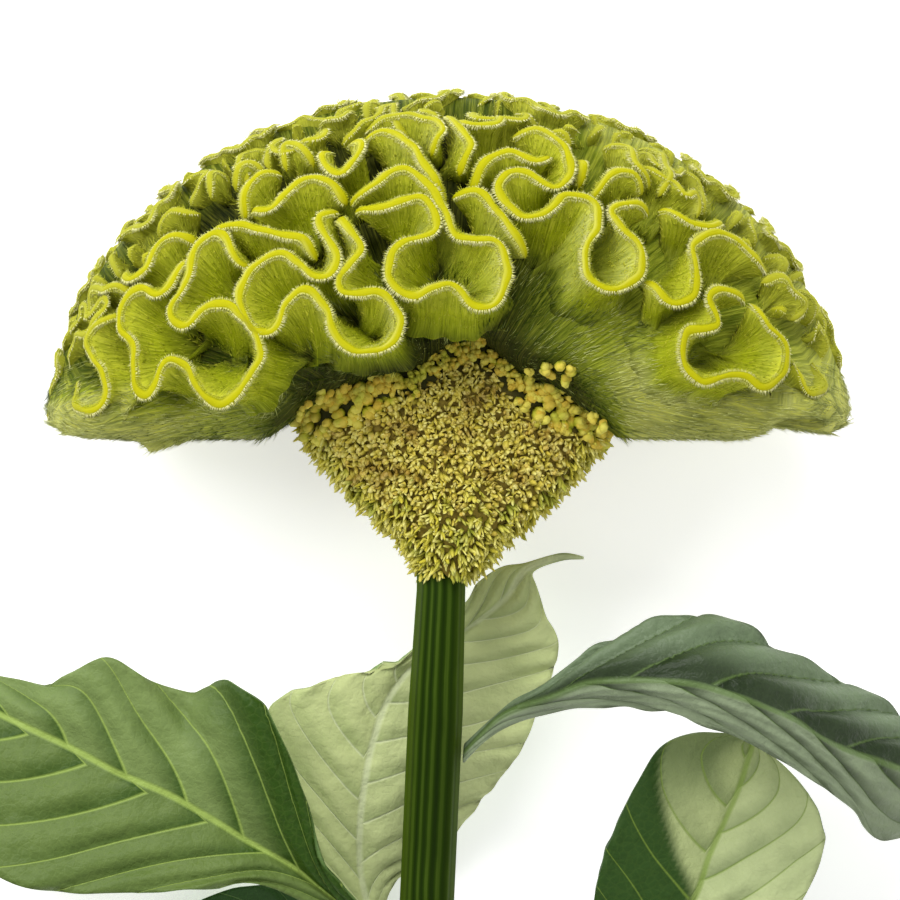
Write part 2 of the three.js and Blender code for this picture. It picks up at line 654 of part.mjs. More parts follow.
function floretSolids() {
  const random = seededRandom(FLORET_SEED);
  const solids = [];
  for (let y = 0; y < FAN_SEAT_Y - 1; y += FLORET_ROW) {
    const ring = fanRing(y, 0, 72);
    ring.push(ring[0]);
    const around = new THREE.CatmullRomCurve3(ring);
    const count = Math.round(around.getLength() / FLORET_PITCH);
    for (let i = 0; i < count; i++) {
      const at = (i + 0.35 * random() + 0.5 * (Math.round(y / FLORET_ROW) % 2)) / count;
      const root = around.getPointAt(at % 1);
      const hidden = root.y > fanOutline(root.x) + 1.5;
      if (hidden) continue;
      const along = around.getTangentAt(at % 1);
      const outward = new THREE.Vector3(0, 1, 0).cross(along).normalize();
      const lift = smoothstep(y, 2, 26);
      const droop = lerp(FLORET_LOW_DROOP, FLORET_HIGH_DROOP, lift) + 0.25 * (random() - 0.5);
      outward.addScaledVector(new THREE.Vector3(0, -1, 0), droop).normalize();
      const length = lerp(FLORET_LOW_LENGTH, FLORET_HIGH_LENGTH, smoothstep(y, 6, 28));
      root.y += FLORET_SHAKE * (random() - 0.5);
      const radius = lerp(...FLORET_RADIUS, random());
      solids.push(solidFrom(new ConvexGeometry(floretPoints(root, outward, length, radius))));
    }
  }
  return solids;
}

function floretsSolid() {
  const body = [-1, 4, 8, 12, 16, 24, 30, 36, FAN_TOP_Y].map((y) => fanRing(y, 0));
  const stemHole = loft(stemRings(SEAT_GAP, STEM_TOP_Y + SEAT_GAP));
  return joinAll([solidFrom(loft(body)), ...floretSolids()]).subtract(solidFrom(stemHole));
}

// ---- The stem ----------------------------------------------------------------------------------------

// The stem's middle: from the neck it leans a little aside and bends down to lie on the surface.
function stemMiddle(y) {
  const down = clamp(-y / STEM_LENGTH, 0, 1);
  const restZ = STEM_RADIUS + STEM_REST_GAP;
  const z = lerp(restZ, NECK_Z, 0.5 + 0.5 * Math.cos(Math.PI * down));
  return new THREE.Vector3(STEM_TOP_X - STEM_LEAN * down, y, z);
}

function stemRadius(y) {
  return lerp(NECK_RADIUS, STEM_RADIUS, clamp(-y / NECK_LENGTH, 0, 1));
}

// Rings of ribs and furrows from the cut end up to the top, swelled by some margin.
function stemRings(margin, topY) {
  const rings = [];
  for (let level = 0; level <= STEM_LEVELS; level++) {
    const y = lerp(-STEM_LENGTH, topY, level / STEM_LEVELS);
    const middle = stemMiddle(y);
    const along = stemMiddle(y + 0.5).sub(stemMiddle(y - 0.5)).normalize();
    const across = along.clone().cross(new THREE.Vector3(0, 0, 1)).normalize();
    const up = across.clone().cross(along);
    const ring = [];
    for (let i = 0; i < 2 * STEM_RIBS; i++) {
      const turn = (Math.PI * i) / STEM_RIBS;
      const swell = i % 2 === 0 ? RIB_SWELL : FURROW_SWELL;
      const radius = stemRadius(y) * swell + margin;
      const point = middle.clone().addScaledVector(across, radius * Math.cos(turn));
      ring.push(point.addScaledVector(up, radius * Math.sin(turn)));
    }
    rings.push(ring.reverse());
  }
  return rings;
}

// ---- Leaves ------------------------------------------------------------------------------------------

// Each leaf is drawn by stations from its stalk to its tip: [left edge, midrib, right edge].
const LEAVES = {
  leaf_left: {
    color: 0x4f7a3a,
    waves: 3,
    waveHeight: 1.6,
    stations: [
      [[-11, -75, 11.4], [-10.8, -73.4, 11.4], [-10.6, -71.8, 11.4]],
      [[-16.4, -70.6, 15], [-15.4, -69, 15], [-14.6, -67.4, 15.4]],
      [[-25, -66, 19], [-22, -64, 18], [-23.8, -57, 24]],
      [[-39, -60, 24], [-32, -56.2, 22], [-29.4, -40, 31]],
      [[-52, -61.6, 27], [-40.4, -51.4, 24], [-36, -25, 33]],
      [[-64, -61.8, 28], [-48.8, -46.2, 26], [-44, -18.4, 30]],
      [[-76, -61.6, 27], [-57, -41.6, 27], [-51, -21.4, 26]],
      [[-88, -60, 25], [-66, -37.8, 27], [-60, -18.8, 28]],
      [[-97, -54, 23], [-76, -32.6, 26], [-69, -13.8, 28]],
      [[-104, -43, 20], [-88, -27, 24], [-80, -19.6, 24]],
      [[-108, -29, 16], [-100, -21.4, 18], [-95, -17.4, 19]],
      [[-112, -17.6, 12], [-111.6, -17, 12], [-111.2, -16.4, 12]],
    ],
  },
  leaf_back: {
    color: 0x8fb27c,
    waves: 3,
    waveHeight: 0.8,
    stations: [
      [[-10.2, -82, 5], [-9.9, -80.4, 5], [-9.8, -78.8, 5]],
      [[-16.4, -72, 7], [-14.6, -70.4, 6.6], [-13.2, -68.6, 6.6]],
      [[-24, -61, 11], [-17.6, -60, 9], [-10.4, -59.4, 6]],
      [[-31, -49, 15], [-18, -50, 12.5], [-2, -53.6, 7.5]],
      [[-35.6, -36.6, 17], [-17, -40, 15.5], [6, -44, 11]],
      [[-36.2, -24, 19], [-15, -30.4, 17.5], [11.8, -37, 14]],
      [[-27, -19.4, 21], [-12, -22.4, 19], [15.6, -31.6, 16]],
      [[-18, -17.2, 21], [-6.6, -15.4, 20], [19, -22.4, 18]],
      [[-9, -13.4, 22], [0.6, -10.2, 20.5], [21.6, -16, 19]],
      [[2.6, -3.6, 22], [7.6, -5.6, 21], [22.4, -10.6, 20]],
      [[8.8, 3, 22], [12.8, -0.8, 21.5], [19.4, -3, 20.5]],
      [[14, 5.4, 21.5], [16, 3.8, 21.2], [17.8, 1.8, 21]],
      [[20.4, 6.8, 21.5], [20.6, 6, 21.5], [20.8, 5.2, 21.5]],
      [[27.4, 7, 23], [27.4, 6.6, 23], [27.4, 6.2, 23]],
    ],
  },
  leaf_right: {
    color: 0x33573a,
    waves: 4,
    waveHeight: 0.8,
    stations: [
      [[3.4, -31.4, 31], [3.3, -33.4, 31], [3.1, -35.2, 31]],
      [[7.2, -27.8, 34], [6.6, -29.8, 34], [5.8, -32.4, 33]],
      [[12.4, -23.4, 37], [11.4, -25.4, 38], [11.2, -28.2, 36]],
      [[19, -19.4, 42], [20.6, -21.8, 44], [21.8, -24.6, 41]],
      [[26.4, -14.8, 45], [27.8, -19, 49], [30, -23.6, 45]],
      [[35.2, -10, 46], [36, -18.2, 53], [38.2, -23.4, 48]],
      [[44.2, -6.8, 45], [45.4, -18.4, 55], [47, -25.2, 50]],
      [[51.6, -6, 44], [54.2, -20.2, 55], [56.4, -28.8, 50]],
      [[59, -8.8, 42], [61.8, -22.8, 53], [65.2, -33.4, 47]],
      [[67, -13.4, 39], [69, -26, 49], [73.6, -38.6, 43]],
      [[76.4, -18.2, 34], [77, -31, 43], [81.2, -44.4, 36]],
      [[85.8, -22.8, 28], [86.8, -34.8, 36], [87, -50.8, 28]],
      [[96, -29, 22], [97, -38, 28], [96, -49, 21]],
      [[112, -41, 16], [112, -41.8, 16.2], [112, -42.6, 16]],
    ],
  },
  leaf_standing: {
    color: 0x9fbd8a,
    waves: 2,
    waveHeight: 1,
    stations: [
      [[0.6, -88.4, 6], [0.6, -90, 6], [0.6, -91.6, 6]],
      [[13.6, -83.2, 9], [15, -85, 9], [16.4, -87, 9]],
      [[24, -74.4, 12], [30, -79, 12], [36, -83.6, 13]],
      [[29, -66.4, 15], [42, -71, 14], [56, -77.6, 17]],
      [[30.2, -59.8, 18], [49.8, -63.6, 16], [69, -67.6, 21]],
      [[31.8, -53.4, 20], [53, -54.8, 18], [75.6, -55.4, 24]],
      [[34.8, -46.4, 22], [56.4, -47, 19], [76.2, -48.4, 26]],
      [[38.2, -39.8, 23], [59, -41, 20], [73.4, -42.2, 26]],
      [[43, -32.4, 23], [60.6, -36, 20], [68.8, -36.6, 24]],
      [[50, -29.4, 22], [61.6, -33, 20], [65.4, -33.6, 22]],
      [[60.4, -30, 20], [61.8, -30.6, 20], [63.2, -31.2, 20]],
    ],
  },
  leaf_low: {
    color: 0x456d35,
    waves: 2,
    waveHeight: 0.8,
    stations: [
      [[-11.5, -91.6, 5], [-11.5, -90, 5], [-11.5, -88.4, 5]],
      [[-19, -86.6, 5], [-19, -84.2, 5], [-18.6, -81.8, 5]],
      [[-28, -89, 5], [-27, -78.6, 6], [-25.6, -67.6, 7]],
      [[-40, -92.4, 4], [-39, -75.6, 7], [-36, -60.8, 9]],
      [[-54, -94, 3.4], [-52, -78, 7], [-50, -63.6, 8]],
      [[-66, -95, 3], [-64, -85, 5], [-61.6, -73, 6]],
      [[-74.6, -96.4, 2.6], [-74.4, -95.8, 2.6], [-74.2, -95.2, 2.6]],
    ],
  },
};

// A leaf's blade: a sheet through its three lines, waved at its edges, of one thickness.
function bladeGeometry({ stations, waves, waveHeight }) {
  const lines = [0, 1, 2].map((which) => {
    const points = stations.map((station) => new THREE.Vector3(...station[which]));
    return new THREE.CatmullRomCurve3(points, false, "centripetal");
  });
  const along = BLADE_ROWS;
  const across = BLADE_COLUMNS;
  const surface = (u, v) => {
    const [left, middle, right] = lines.map((line) => line.getPoint(clamp(u, 0, 1)));
    const point = middle.lerp(v < 0 ? left : right, Math.abs(v));
    const side = v < 0 ? 0.25 : 0;
    const fade = Math.sin(Math.PI * clamp(u, 0, 1));
    point.z += waveHeight * fade * v * v * Math.sin(2 * Math.PI * (waves * u + side));
    return point;
  };
  const faces = [[], []];
  const nudge = 0.01;
  for (let i = 0; i <= along; i++) {
    for (let j = 0; j <= across; j++) {
      const u = i / along;
      const v = (2 * j) / across - 1;
      const alongWay = surface(u + nudge, v).sub(surface(u - nudge, v));
      const acrossWay = surface(u, v < 1 ? v + nudge : v).sub(surface(u, v < 1 ? v : v - nudge));
      const normal = alongWay.cross(acrossWay).normalize();
      const point = surface(u, v);
      faces[0].push(point.clone().addScaledVector(normal, BLADE_THICKNESS / 2));
      faces[1].push(point.clone().addScaledVector(normal, -BLADE_THICKNESS / 2));
    }
  }
  const row = across + 1;
  const under = (along + 1) * row;
  const triangles = [];
  for (let i = 0; i < along; i++) {
    for (let j = 0; j < across; j++) {
      const a = i * row + j;
      const b = a + row;
      triangles.push(a, b, b + 1, a, b + 1, a + 1);
      triangles.push(under + a, under + b + 1, under + b, under + a, under + a + 1, under + b + 1);
    }
  }
  const edge = [];
  for (let i = 0; i < along; i++) edge.push(i * row);
  for (let j = 0; j < across; j++) edge.push(along * row + j);
  for (let i = along; i > 0; i--) edge.push(i * row + across);
  for (let j = across; j > 0; j--) edge.push(j);
  edge.forEach((from, k) => {
    const to = edge[(k + 1) % edge.length];
    triangles.push(to, from, under + from, to, under + from, under + to);
  });
  const geometry = new THREE.BufferGeometry().setFromPoints([...faces[0], ...faces[1]]);
  geometry.setIndex(triangles);
  return geometry;
}

// ---- The flower --------------------------------------------------------------------------------------

function finish(color, roughness) {
  return new THREE.MeshStandardMaterial({ color, roughness, metalness: 0, flatShading: true });
}

function piece(name, geometry, material) {
  const mesh = new THREE.Mesh(geometry, material);
  mesh.name = name;
  return mesh;
}

const flower = new THREE.Group();
flower.add(piece("comb", geometryFrom(largestBody(combSolid())), finish(0x9fb02c, 0.75)));
flower.add(piece("florets", geometryFrom(largestBody(floretsSolid())), finish(0xb9a84a, 0.8)));
flower.add(piece("stem", loft(stemRings(0, STEM_TOP_Y)), finish(0x3c6325, 0.5)));
for (const [name, leaf] of Object.entries(LEAVES)) {
  flower.add(piece(name, bladeGeometry(leaf), finish(leaf.color, 0.55)));
}

export default flower;
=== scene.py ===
# %% [markdown]
# # A cut cockscomb celosia
# A cockscomb is one flower head whose growing edge has kept widening until it had to fold. What is seen is
# a thin yellow edge thrown into loops, green velvety walls under it, a fan of small florets below, a ribbed
# stem and a few leaves. The frame brings the solid parts in at their real size, and every piece made
# here stands where one of them stands. Sizes are written in millimetres and turned into metres only when
# a mesh is made.

import math

import bpy
import numpy as np
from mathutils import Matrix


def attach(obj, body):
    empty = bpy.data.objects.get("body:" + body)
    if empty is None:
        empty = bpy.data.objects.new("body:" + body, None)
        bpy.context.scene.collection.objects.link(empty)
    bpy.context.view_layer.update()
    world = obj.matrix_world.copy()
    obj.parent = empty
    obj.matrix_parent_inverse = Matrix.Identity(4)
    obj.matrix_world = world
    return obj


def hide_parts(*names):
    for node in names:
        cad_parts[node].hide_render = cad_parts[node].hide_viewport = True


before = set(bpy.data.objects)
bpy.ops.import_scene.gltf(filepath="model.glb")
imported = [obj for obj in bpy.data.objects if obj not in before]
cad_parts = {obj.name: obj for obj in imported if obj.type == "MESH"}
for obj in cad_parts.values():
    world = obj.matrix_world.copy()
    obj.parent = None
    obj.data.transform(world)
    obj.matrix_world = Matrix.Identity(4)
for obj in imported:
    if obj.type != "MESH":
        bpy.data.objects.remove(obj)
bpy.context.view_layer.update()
MM = 0.001
print("nodes in the frame:", sorted(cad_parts))

# %% [markdown]
# ## Small tools
# Every surface here is a table of points: rows along a path and columns across it. The tools below turn
# such a table into faces, close its ends, and give its points numbers that the materials can read.
# Working on whole tables keeps each shape a formula, where modelling by hand would hide it.

# %% Faces of a table of points


def table_faces(rows, columns, first=0, closed=False):
    """Quads between neighbouring rows and columns. Closed joins the last column to the first."""
    row = np.arange(rows - 1)[:, None] * columns
    column = np.arange(columns if closed else columns - 1)[None, :]
    beside = (column + 1) % columns
    quads = np.stack([row + column, row + beside, row + beside + columns, row + column + columns], axis=-1)
    return first + quads.reshape(-1, 4)


def fan_faces(ring, hub, inward=False):
    """Triangles from each side of a closed ring to one hub point."""
    nearest, furthest = ring, np.roll(ring, -1)
    corners = (furthest, nearest) if inward else (nearest, furthest)
    return np.stack([*corners, np.full(len(ring), hub)], axis=-1)


def tube_faces(rows, columns, first=0):
    """Faces of a tube of closed rings whose two hub points follow its last ring."""
    hub = first + rows * columns
    start = first + np.arange(columns)
    end = start + (rows - 1) * columns
    walls = table_faces(rows, columns, first, closed=True)
    return walls, np.concatenate([fan_faces(start, hub, inward=True), fan_faces(end, hub + 1)])


def tube_points(rings):
    """The rings of a tube one after the other, then the middle of its first ring and of its last."""
    return np.concatenate([rings.reshape(-1, 3), rings[[0, -1]].mean(axis=1)])


# %% A mesh piece


def enclosed_volume(points, face_sets):
    """Volume inside closed faces: the sum of the pyramids from the origin to each triangle."""
    total = 0.0
    for faces in face_sets:
        for k in range(1, faces.shape[1] - 1):
            a, b, c = points[faces[:, 0]], points[faces[:, k]], points[faces[:, k + 1]]
            total += (a * np.cross(b, c)).sum() / 6
    return total


def mesh_piece(name, points, face_sets, material, stands_for=(), marks=None):
    """An object from points in millimetres, its faces turned outwards. Marks are numbers, one for each
    point, by name."""
    volume = enclosed_volume(points, face_sets)
    if volume < 0:
        face_sets = [faces[:, ::-1] for faces in face_sets]
    mesh = bpy.data.meshes.new(name)
    corners = np.concatenate([faces.ravel() for faces in face_sets])
    sizes = np.concatenate([np.full(len(faces), faces.shape[1]) for faces in face_sets])
    mesh.vertices.add(len(points))
    mesh.vertices.foreach_set("co", (points * MM).astype(np.float32).ravel())
    mesh.loops.add(len(corners))
    mesh.loops.foreach_set("vertex_index", corners.astype(np.int32))
    mesh.polygons.add(len(sizes))
    mesh.polygons.foreach_set("loop_start", np.concatenate([[0], np.cumsum(sizes)[:-1]]).astype(np.int32))
    mesh.polygons.foreach_set("use_smooth", np.ones(len(sizes), bool))
    mesh.update(calc_edges=True)
    for mark, values in (marks or {}).items():
        attribute = mesh.attributes.new(mark, "FLOAT", "POINT")
        attribute.data.foreach_set("value", np.asarray(values, np.float32))
    mesh.materials.append(material)
    piece = bpy.data.objects.new(name, mesh)
    bpy.context.scene.collection.objects.link(piece)
    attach(piece, "root")
    if stands_for:
        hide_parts(*stands_for)
    print(f"{name}: {int((sizes - 2).sum())} triangles round {abs(volume) / 1000:.1f} cm3")
    return piece


# %% Directions and smooth paths


def unit(vectors):
    """Each vector over its own length."""
    return vectors / np.maximum(np.linalg.norm(vectors, axis=-1, keepdims=True), 1e-9)


def smooth_step(values, low, high):
    """0 under low, 1 over high, and 3t^2 - 2t^3 of the share t in between."""
    share = np.clip((values - low) / (high - low), 0, 1)
    return share * share * (3 - 2 * share)


def rounded_path(points, knots=24):
    """A centripetal Catmull-Rom curve: each stretch is a blend of blends of its four nearest points,
    timed by the square root of their distances."""
    ends = [2 * points[0] - points[1], 2 * points[-1] - points[-2]]
    p = np.concatenate([[ends[0]], points, [ends[1]]])
    gaps = np.maximum(np.linalg.norm(np.diff(p, axis=0), axis=1) ** 0.5, 1e-4)
    t = np.concatenate([[0], np.cumsum(gaps)])
    t0, t1, t2, t3 = (t[i : len(t) - 3 + i, None, None] for i in range(4))
    p0, p1, p2, p3 = (p[i : len(p) - 3 + i, None, :] for i in range(4))
    at = t1 + (t2 - t1) * np.linspace(0, 1, knots, endpoint=False)[None, :, None]
    a = (p0 * (t1 - at) + p1 * (at - t0)) / (t1 - t0)
    b = (p1 * (t2 - at) + p2 * (at - t1)) / (t2 - t1)
    c = (p2 * (t3 - at) + p3 * (at - t2)) / (t3 - t2)
    ab = (a * (t2 - at) + b * (at - t0)) / (t2 - t0)
    bc = (b * (t3 - at) + c * (at - t1)) / (t3 - t1)
    curve = (ab * (t2 - at) + bc * (at - t1)) / (t2 - t1)
    return np.concatenate([curve.reshape(-1, points.shape[1]), points[-1:]])


def even_path(points, step):
    """The rounded path through the points, cut into equal steps."""
    curve = rounded_path(points)
    run = np.concatenate([[0], np.cumsum(np.linalg.norm(np.diff(curve, axis=0), axis=1))])
    count = max(3, round(run[-1] / step) + 1)
    at = np.linspace(0, run[-1], count)
    return np.stack([np.interp(at, run, curve[:, k]) for k in range(curve.shape[1])], axis=1)


def softened(path, width, step):
    """Each point of a path replaced by the mean of its neighbours under a bell of that width."""
    place = np.arange(len(path)) * step
    bell = np.exp(-0.5 * ((place[:, None] - place[None, :]) / max(width, 1e-3)) ** 2)
    return (bell / bell.sum(axis=1, keepdims=True)) @ path


# %% Node trees in one call


def add_node(tree, kind, inputs=None, **settings):
    """A node with its settings, its inputs set to values or joined to other nodes' sockets."""
    node = tree.nodes.new(kind)
    for name, value in settings.items():
        setattr(node, name, value)
    for name, value in (inputs or {}).items():
        if isinstance(value, bpy.types.NodeSocket):
            tree.links.new(value, node.inputs[name])
        else:
            node.inputs[name].default_value = value
    return node


def srgb(red, green, blue):
    """A colour as a painter's chart gives it, 0 to 255, in the light values that a shader takes."""
    shares = np.array([red, green, blue]) / 255
    light = np.where(shares > 0.04045, ((shares + 0.055) / 1.055) ** 2.4, shares / 12.92)
    return (*light.tolist(), 1.0)


def ramp(tree, factor, stops):
    """A colour ramp with (place, colour) stops, read at a factor."""
    node = add_node(tree, "ShaderNodeValToRGB", {"Fac": factor})
    elements = node.color_ramp.elements
    while len(elements) < len(stops):
        elements.new(0.5)
    for element, (place, colour) in zip(elements, stops):
        element.position = place
        element.color = colour
    return node.outputs["Color"]


def mark_value(tree, mark):
    """The number that each point of the mesh carries under a name."""
    return add_node(tree, "ShaderNodeAttribute", attribute_name=mark).outputs["Fac"]


def arithmetic(tree, operation, *values):
    """One Math node."""
    inputs = dict(enumerate(values))
    return add_node(tree, "ShaderNodeMath", inputs, operation=operation).outputs[0]


def product(tree, first, *others):
    """The values multiplied with one another, by one Math node for each after the first."""
    for other in others:
        first = arithmetic(tree, "MULTIPLY", first, other)
    return first


def stretched(tree, value, low, high, top=1.0):
    """The value's place between low and high: 0 at low, the top at high, and held there beyond both."""
    inputs = {"Value": value, "From Min": low, "From Max": high, "To Max": top}
    return add_node(tree, "ShaderNodeMapRange", inputs).outputs[0]


def blended(tree, factor, first, second):
    """One Mix node for numbers."""
    inputs = {"Factor": factor, 2: first, 3: second}
    return add_node(tree, "ShaderNodeMix", inputs, data_type="FLOAT").outputs[0]


def mixed(tree, factor, first, second, blend="MIX"):
    """One colour Mix node."""
    inputs = {"Factor": factor, 6: first, 7: second}
    node = add_node(tree, "ShaderNodeMix", inputs, data_type="RGBA", blend_type=blend)
    return node.outputs[2]


def new_material(name, **constants):
    """A material, its tree and its Principled shader with some constants set on the shader itself."""
    material = bpy.data.materials.new(name)
    material.use_nodes = True
    tree = material.node_tree
    shader = tree.nodes["Principled BSDF"]
    for socket, value in constants.items():
        shader.inputs[socket.replace("_", " ")].default_value = value
    return material, tree, shader


def raise_relief(tree, shader, height, strength, distance):
    """A Bump node that lifts the shader's normals where the height is high. Distance is in millimetres."""
    inputs = {"Height": height, "Strength": strength, "Distance": distance * MM}
    tree.links.new(add_node(tree, "ShaderNodeBump", inputs).outputs[0], shader.inputs["Normal"])


# %% [markdown]
# ## Shared surface effects
# Two effects come back on many parts of this flower. Fine hairs lie side by side on the comb, as fibres
# do in the stem, and every green surface is a little blotched. Both could be painted as images, but a
# formula has no seams and fits any size. Each is a node group, built once, so that every material sets
# only its own scale. The groups give out plain numbers; the shaders that use them stay in the materials.

# %% Hair streaks and blotches


def new_group(name, inputs, outputs):
    """An empty node group of numbers: its inputs with their first values, and its outputs."""
    group = bpy.data.node_groups.new(name, "ShaderNodeTree")
    for label, value in inputs.items():
        socket = group.interface.new_socket(label, in_out="INPUT", socket_type="NodeSocketFloat")
        socket.default_value = value
    for label in outputs:
        group.interface.new_socket(label, in_out="OUTPUT", socket_type="NodeSocketFloat")
    return group, group.nodes.new("NodeGroupInput").outputs, group.nodes.new("NodeGroupOutput").inputs


def make_streaks():
    """Streaks: noise drawn out along one way. Across and Along are places in millimetres, and each is
    divided by the width or the length of a hair before the noise reads them."""
    inputs = {"Across": 0.0, "Along": 0.0, "Width": 0.5, "Length": 6.0}
    group, given, out = new_group("hair streaks", inputs, ["Streak"])
    across = arithmetic(group, "DIVIDE", given["Across"], given["Width"])
    along = arithmetic(group, "DIVIDE", given["Along"], given["Length"])
    place = add_node(group, "ShaderNodeCombineXYZ", {"X": across, "Y": along})
    grain = {"Vector": place.outputs[0], "Scale": 1.0, "Detail": 3.0, "Roughness": 0.6}
    noise = add_node(group, "ShaderNodeTexNoise", grain)
    group.links.new(stretched(group, noise.outputs[0], 0.34, 0.66), out["Streak"])
    return group


def make_blotches():
    """Blotches: soft noise on the object's own millimetres, spread from 0 to 1."""
    group, given, out = new_group("blotches", {"Size": 10.0}, ["Blotch"])
    place = add_node(group, "ShaderNodeTexCoord").outputs["Object"]
    scale = arithmetic(group, "DIVIDE", 1 / MM, given["Size"])
    noise = add_node(group, "ShaderNodeTexNoise", {"Vector": place, "Scale": scale, "Detail": 4.0})
    group.links.new(stretched(group, noise.outputs[0], 0.3, 0.7), out["Blotch"])
    return group


STREAKS = make_streaks()
BLOTCHES = make_blotches()


def use_group(tree, group, **inputs):
    """A shared group placed in a material's tree; its first output."""
    return add_node(tree, "ShaderNodeGroup", inputs, node_tree=group).outputs[0]


# %% [markdown]
# ## Camera, floor and light
# The flower lies on its back, so the camera hangs over it and looks straight down, with the head at the
# top of the view. A long lens far away keeps the head and the leaves below it at nearly one scale.
# A large soft lamp beyond the head lights the tops of the folds and leaves their undersides darker, one at
# the left looks into the open folds, and a weak one at the right fills the shadows. One bright sky alone
# would be simpler, but it would flatten every fold. The floor glows faintly, so that it stays nearly
# white while the lamps stay gentle.

# %% Camera, floor and light
VIEW_MIDDLE = (0.4, 28.0)
VIEW_WIDTH = 180.0
VIEW_PLANE = 60.0
CAMERA_HEIGHT = 2600.0
SENSOR_WIDTH = 36
FLOOR_HALF = 3
FLOOR_GREY = 0.92
FLOOR_GLOW = 0.48
SKY_STRENGTH = 0.5
AIM_HEIGHT = 0.04

camera_data = bpy.data.cameras.new("camera")
camera_data.sensor_width = SENSOR_WIDTH
camera_data.lens = SENSOR_WIDTH * (CAMERA_HEIGHT - VIEW_PLANE) / VIEW_WIDTH
camera_data.clip_start = 0.1
camera_data.clip_end = 20
camera = bpy.data.objects.new("camera", camera_data)
camera.location = (VIEW_MIDDLE[0] * MM, VIEW_MIDDLE[1] * MM, CAMERA_HEIGHT * MM)
bpy.context.scene.collection.objects.link(camera)
bpy.context.scene.camera = camera

floor_mesh = bpy.data.meshes.new("floor")
floor_corners = [(x * FLOOR_HALF, y * FLOOR_HALF, 0) for x, y in ((-1, -1), (1, -1), (1, 1), (-1, 1))]
floor_mesh.from_pydata(floor_corners, [], [(0, 1, 2, 3)])
floor_paint, _, _ = new_material(
    "floor paint",
    Base_Color=(FLOOR_GREY, FLOOR_GREY, FLOOR_GREY, 1),
    Roughness=0.9,
    Emission_Color=(1, 1, 1, 1),
    Emission_Strength=FLOOR_GLOW,
)
floor_mesh.materials.append(floor_paint)
floor = bpy.data.objects.new("floor", floor_mesh)
bpy.context.scene.collection.objects.link(floor)


def add_lamp(name, place, size, power):
    """A square soft lamp at a place in metres, turned towards the flower under the camera."""
    lamp_data = bpy.data.lights.new(name, "AREA")
    lamp_data.size = size
    lamp_data.energy = power
    lamp = bpy.data.objects.new(name, lamp_data)
    lamp.location = place
    aim = camera.location.copy()
    aim.z = AIM_HEIGHT
    lamp.rotation_euler = (aim - lamp.location).to_track_quat("-Z", "Y").to_euler()
    bpy.context.scene.collection.objects.link(lamp)


add_lamp("lamp over the head", (0.0, 1.05, 1.1), 0.7, 12)
add_lamp("lamp at the left", (-0.8, 0.45, 1.0), 0.6, 9)
add_lamp("lamp at the right", (0.9, -0.2, 1.3), 0.8, 3)

world = bpy.data.worlds.new("pale room")
world.use_nodes = True
sky = world.node_tree.nodes["Background"]
sky.inputs["Color"].default_value = (1, 1, 1, 1)
sky.inputs["Strength"].default_value = SKY_STRENGTH
bpy.context.scene.world = world
bpy.context.scene.view_settings.view_transform = "Standard"
print(f"lens {camera_data.lens:.0f} mm at {CAMERA_HEIGHT / 1000:.1f} m")

# %% [markdown]
# ## The comb's crown lines
# The edge of the comb is drawn by the folds of the solid head: the ridge of every wall lies on one dome,
# a half ellipse from the front and blunt from front to back. The ridges could be drawn here a second time,
# but then the two drawings could drift apart. They are read off the solid instead: they are the corners
# that lie on the dome, joined by the edges between them.

# %% The dome
DOME_MIDDLE = np.array([0.0, 34.0, 37.5])
DOME_HALF_WIDTH = 81.0
DOME_RISE = 67.0
DOME_UNDERCUT = 16.0
DOME_HALF_DEPTH = 42.0
DOME_BLUNTNESS = 2.4


def dome_offsets(points, depth=0.0):
    """Offsets from the dome's middle over its half sizes, each shrunk by some depth, and those sizes. The
    dome rises more than it goes down."""
    high = np.where(points[..., 1] > DOME_MIDDLE[1], DOME_RISE, DOME_UNDERCUT) - depth
    wide, deep = (np.full(high.shape, half - depth) for half in (DOME_HALF_WIDTH, DOME_HALF_DEPTH))
    sizes = np.moveaxis(np.stack([wide, high, deep]), 0, -1)
    return (points - DOME_MIDDLE) / sizes, sizes


def dome_level(points, depth=0.0):
    """1 on the dome and less inside: x^2 + y^2 + |z|^2.4 of the offsets."""
    share, _ = dome_offsets(points, depth)
    return share[..., 0] ** 2 + share[..., 1] ** 2 + np.abs(share[..., 2]) ** DOME_BLUNTNESS


def dome_slope(points):
    """How fast the level grows along x, y and z."""
    share, sizes = dome_offsets(points)
    out = DOME_BLUNTNESS * np.sign(share[..., 2]) * np.abs(share[..., 2]) ** (DOME_BLUNTNESS - 1)
    return np.stack([2 * share[..., 0], 2 * share[..., 1], out], axis=-1) / sizes


def settled(points, steps=8):
    """Points moved onto the dome along its slope, by some of Newton's steps."""
    for _ in range(steps):
        slope = dome_slope(points)
        points = points + slope * ((1 - dome_level(points)) / (slope**2).sum(axis=-1))[..., None]
    return points


# %% Ridges read off the solid head
RIDGE_CLOSENESS = 4e-4


def solid_corners(node):
    """A node's corners in millimetres, each once, and its triangles."""
    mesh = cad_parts[node].data
    places = np.empty(len(mesh.vertices) * 3, np.float32)
    mesh.vertices.foreach_get("co", places)
    mesh.calc_loop_triangles()
    triangles = np.empty(len(mesh.loop_triangles) * 3, np.int32)
    mesh.loop_triangles.foreach_get("vertices", triangles)
    rounded = np.round(places.reshape(-1, 3).astype(float) / MM, 3)
    corners, index = np.unique(rounded, axis=0, return_inverse=True)
    return corners, index.ravel()[triangles].reshape(-1, 3)


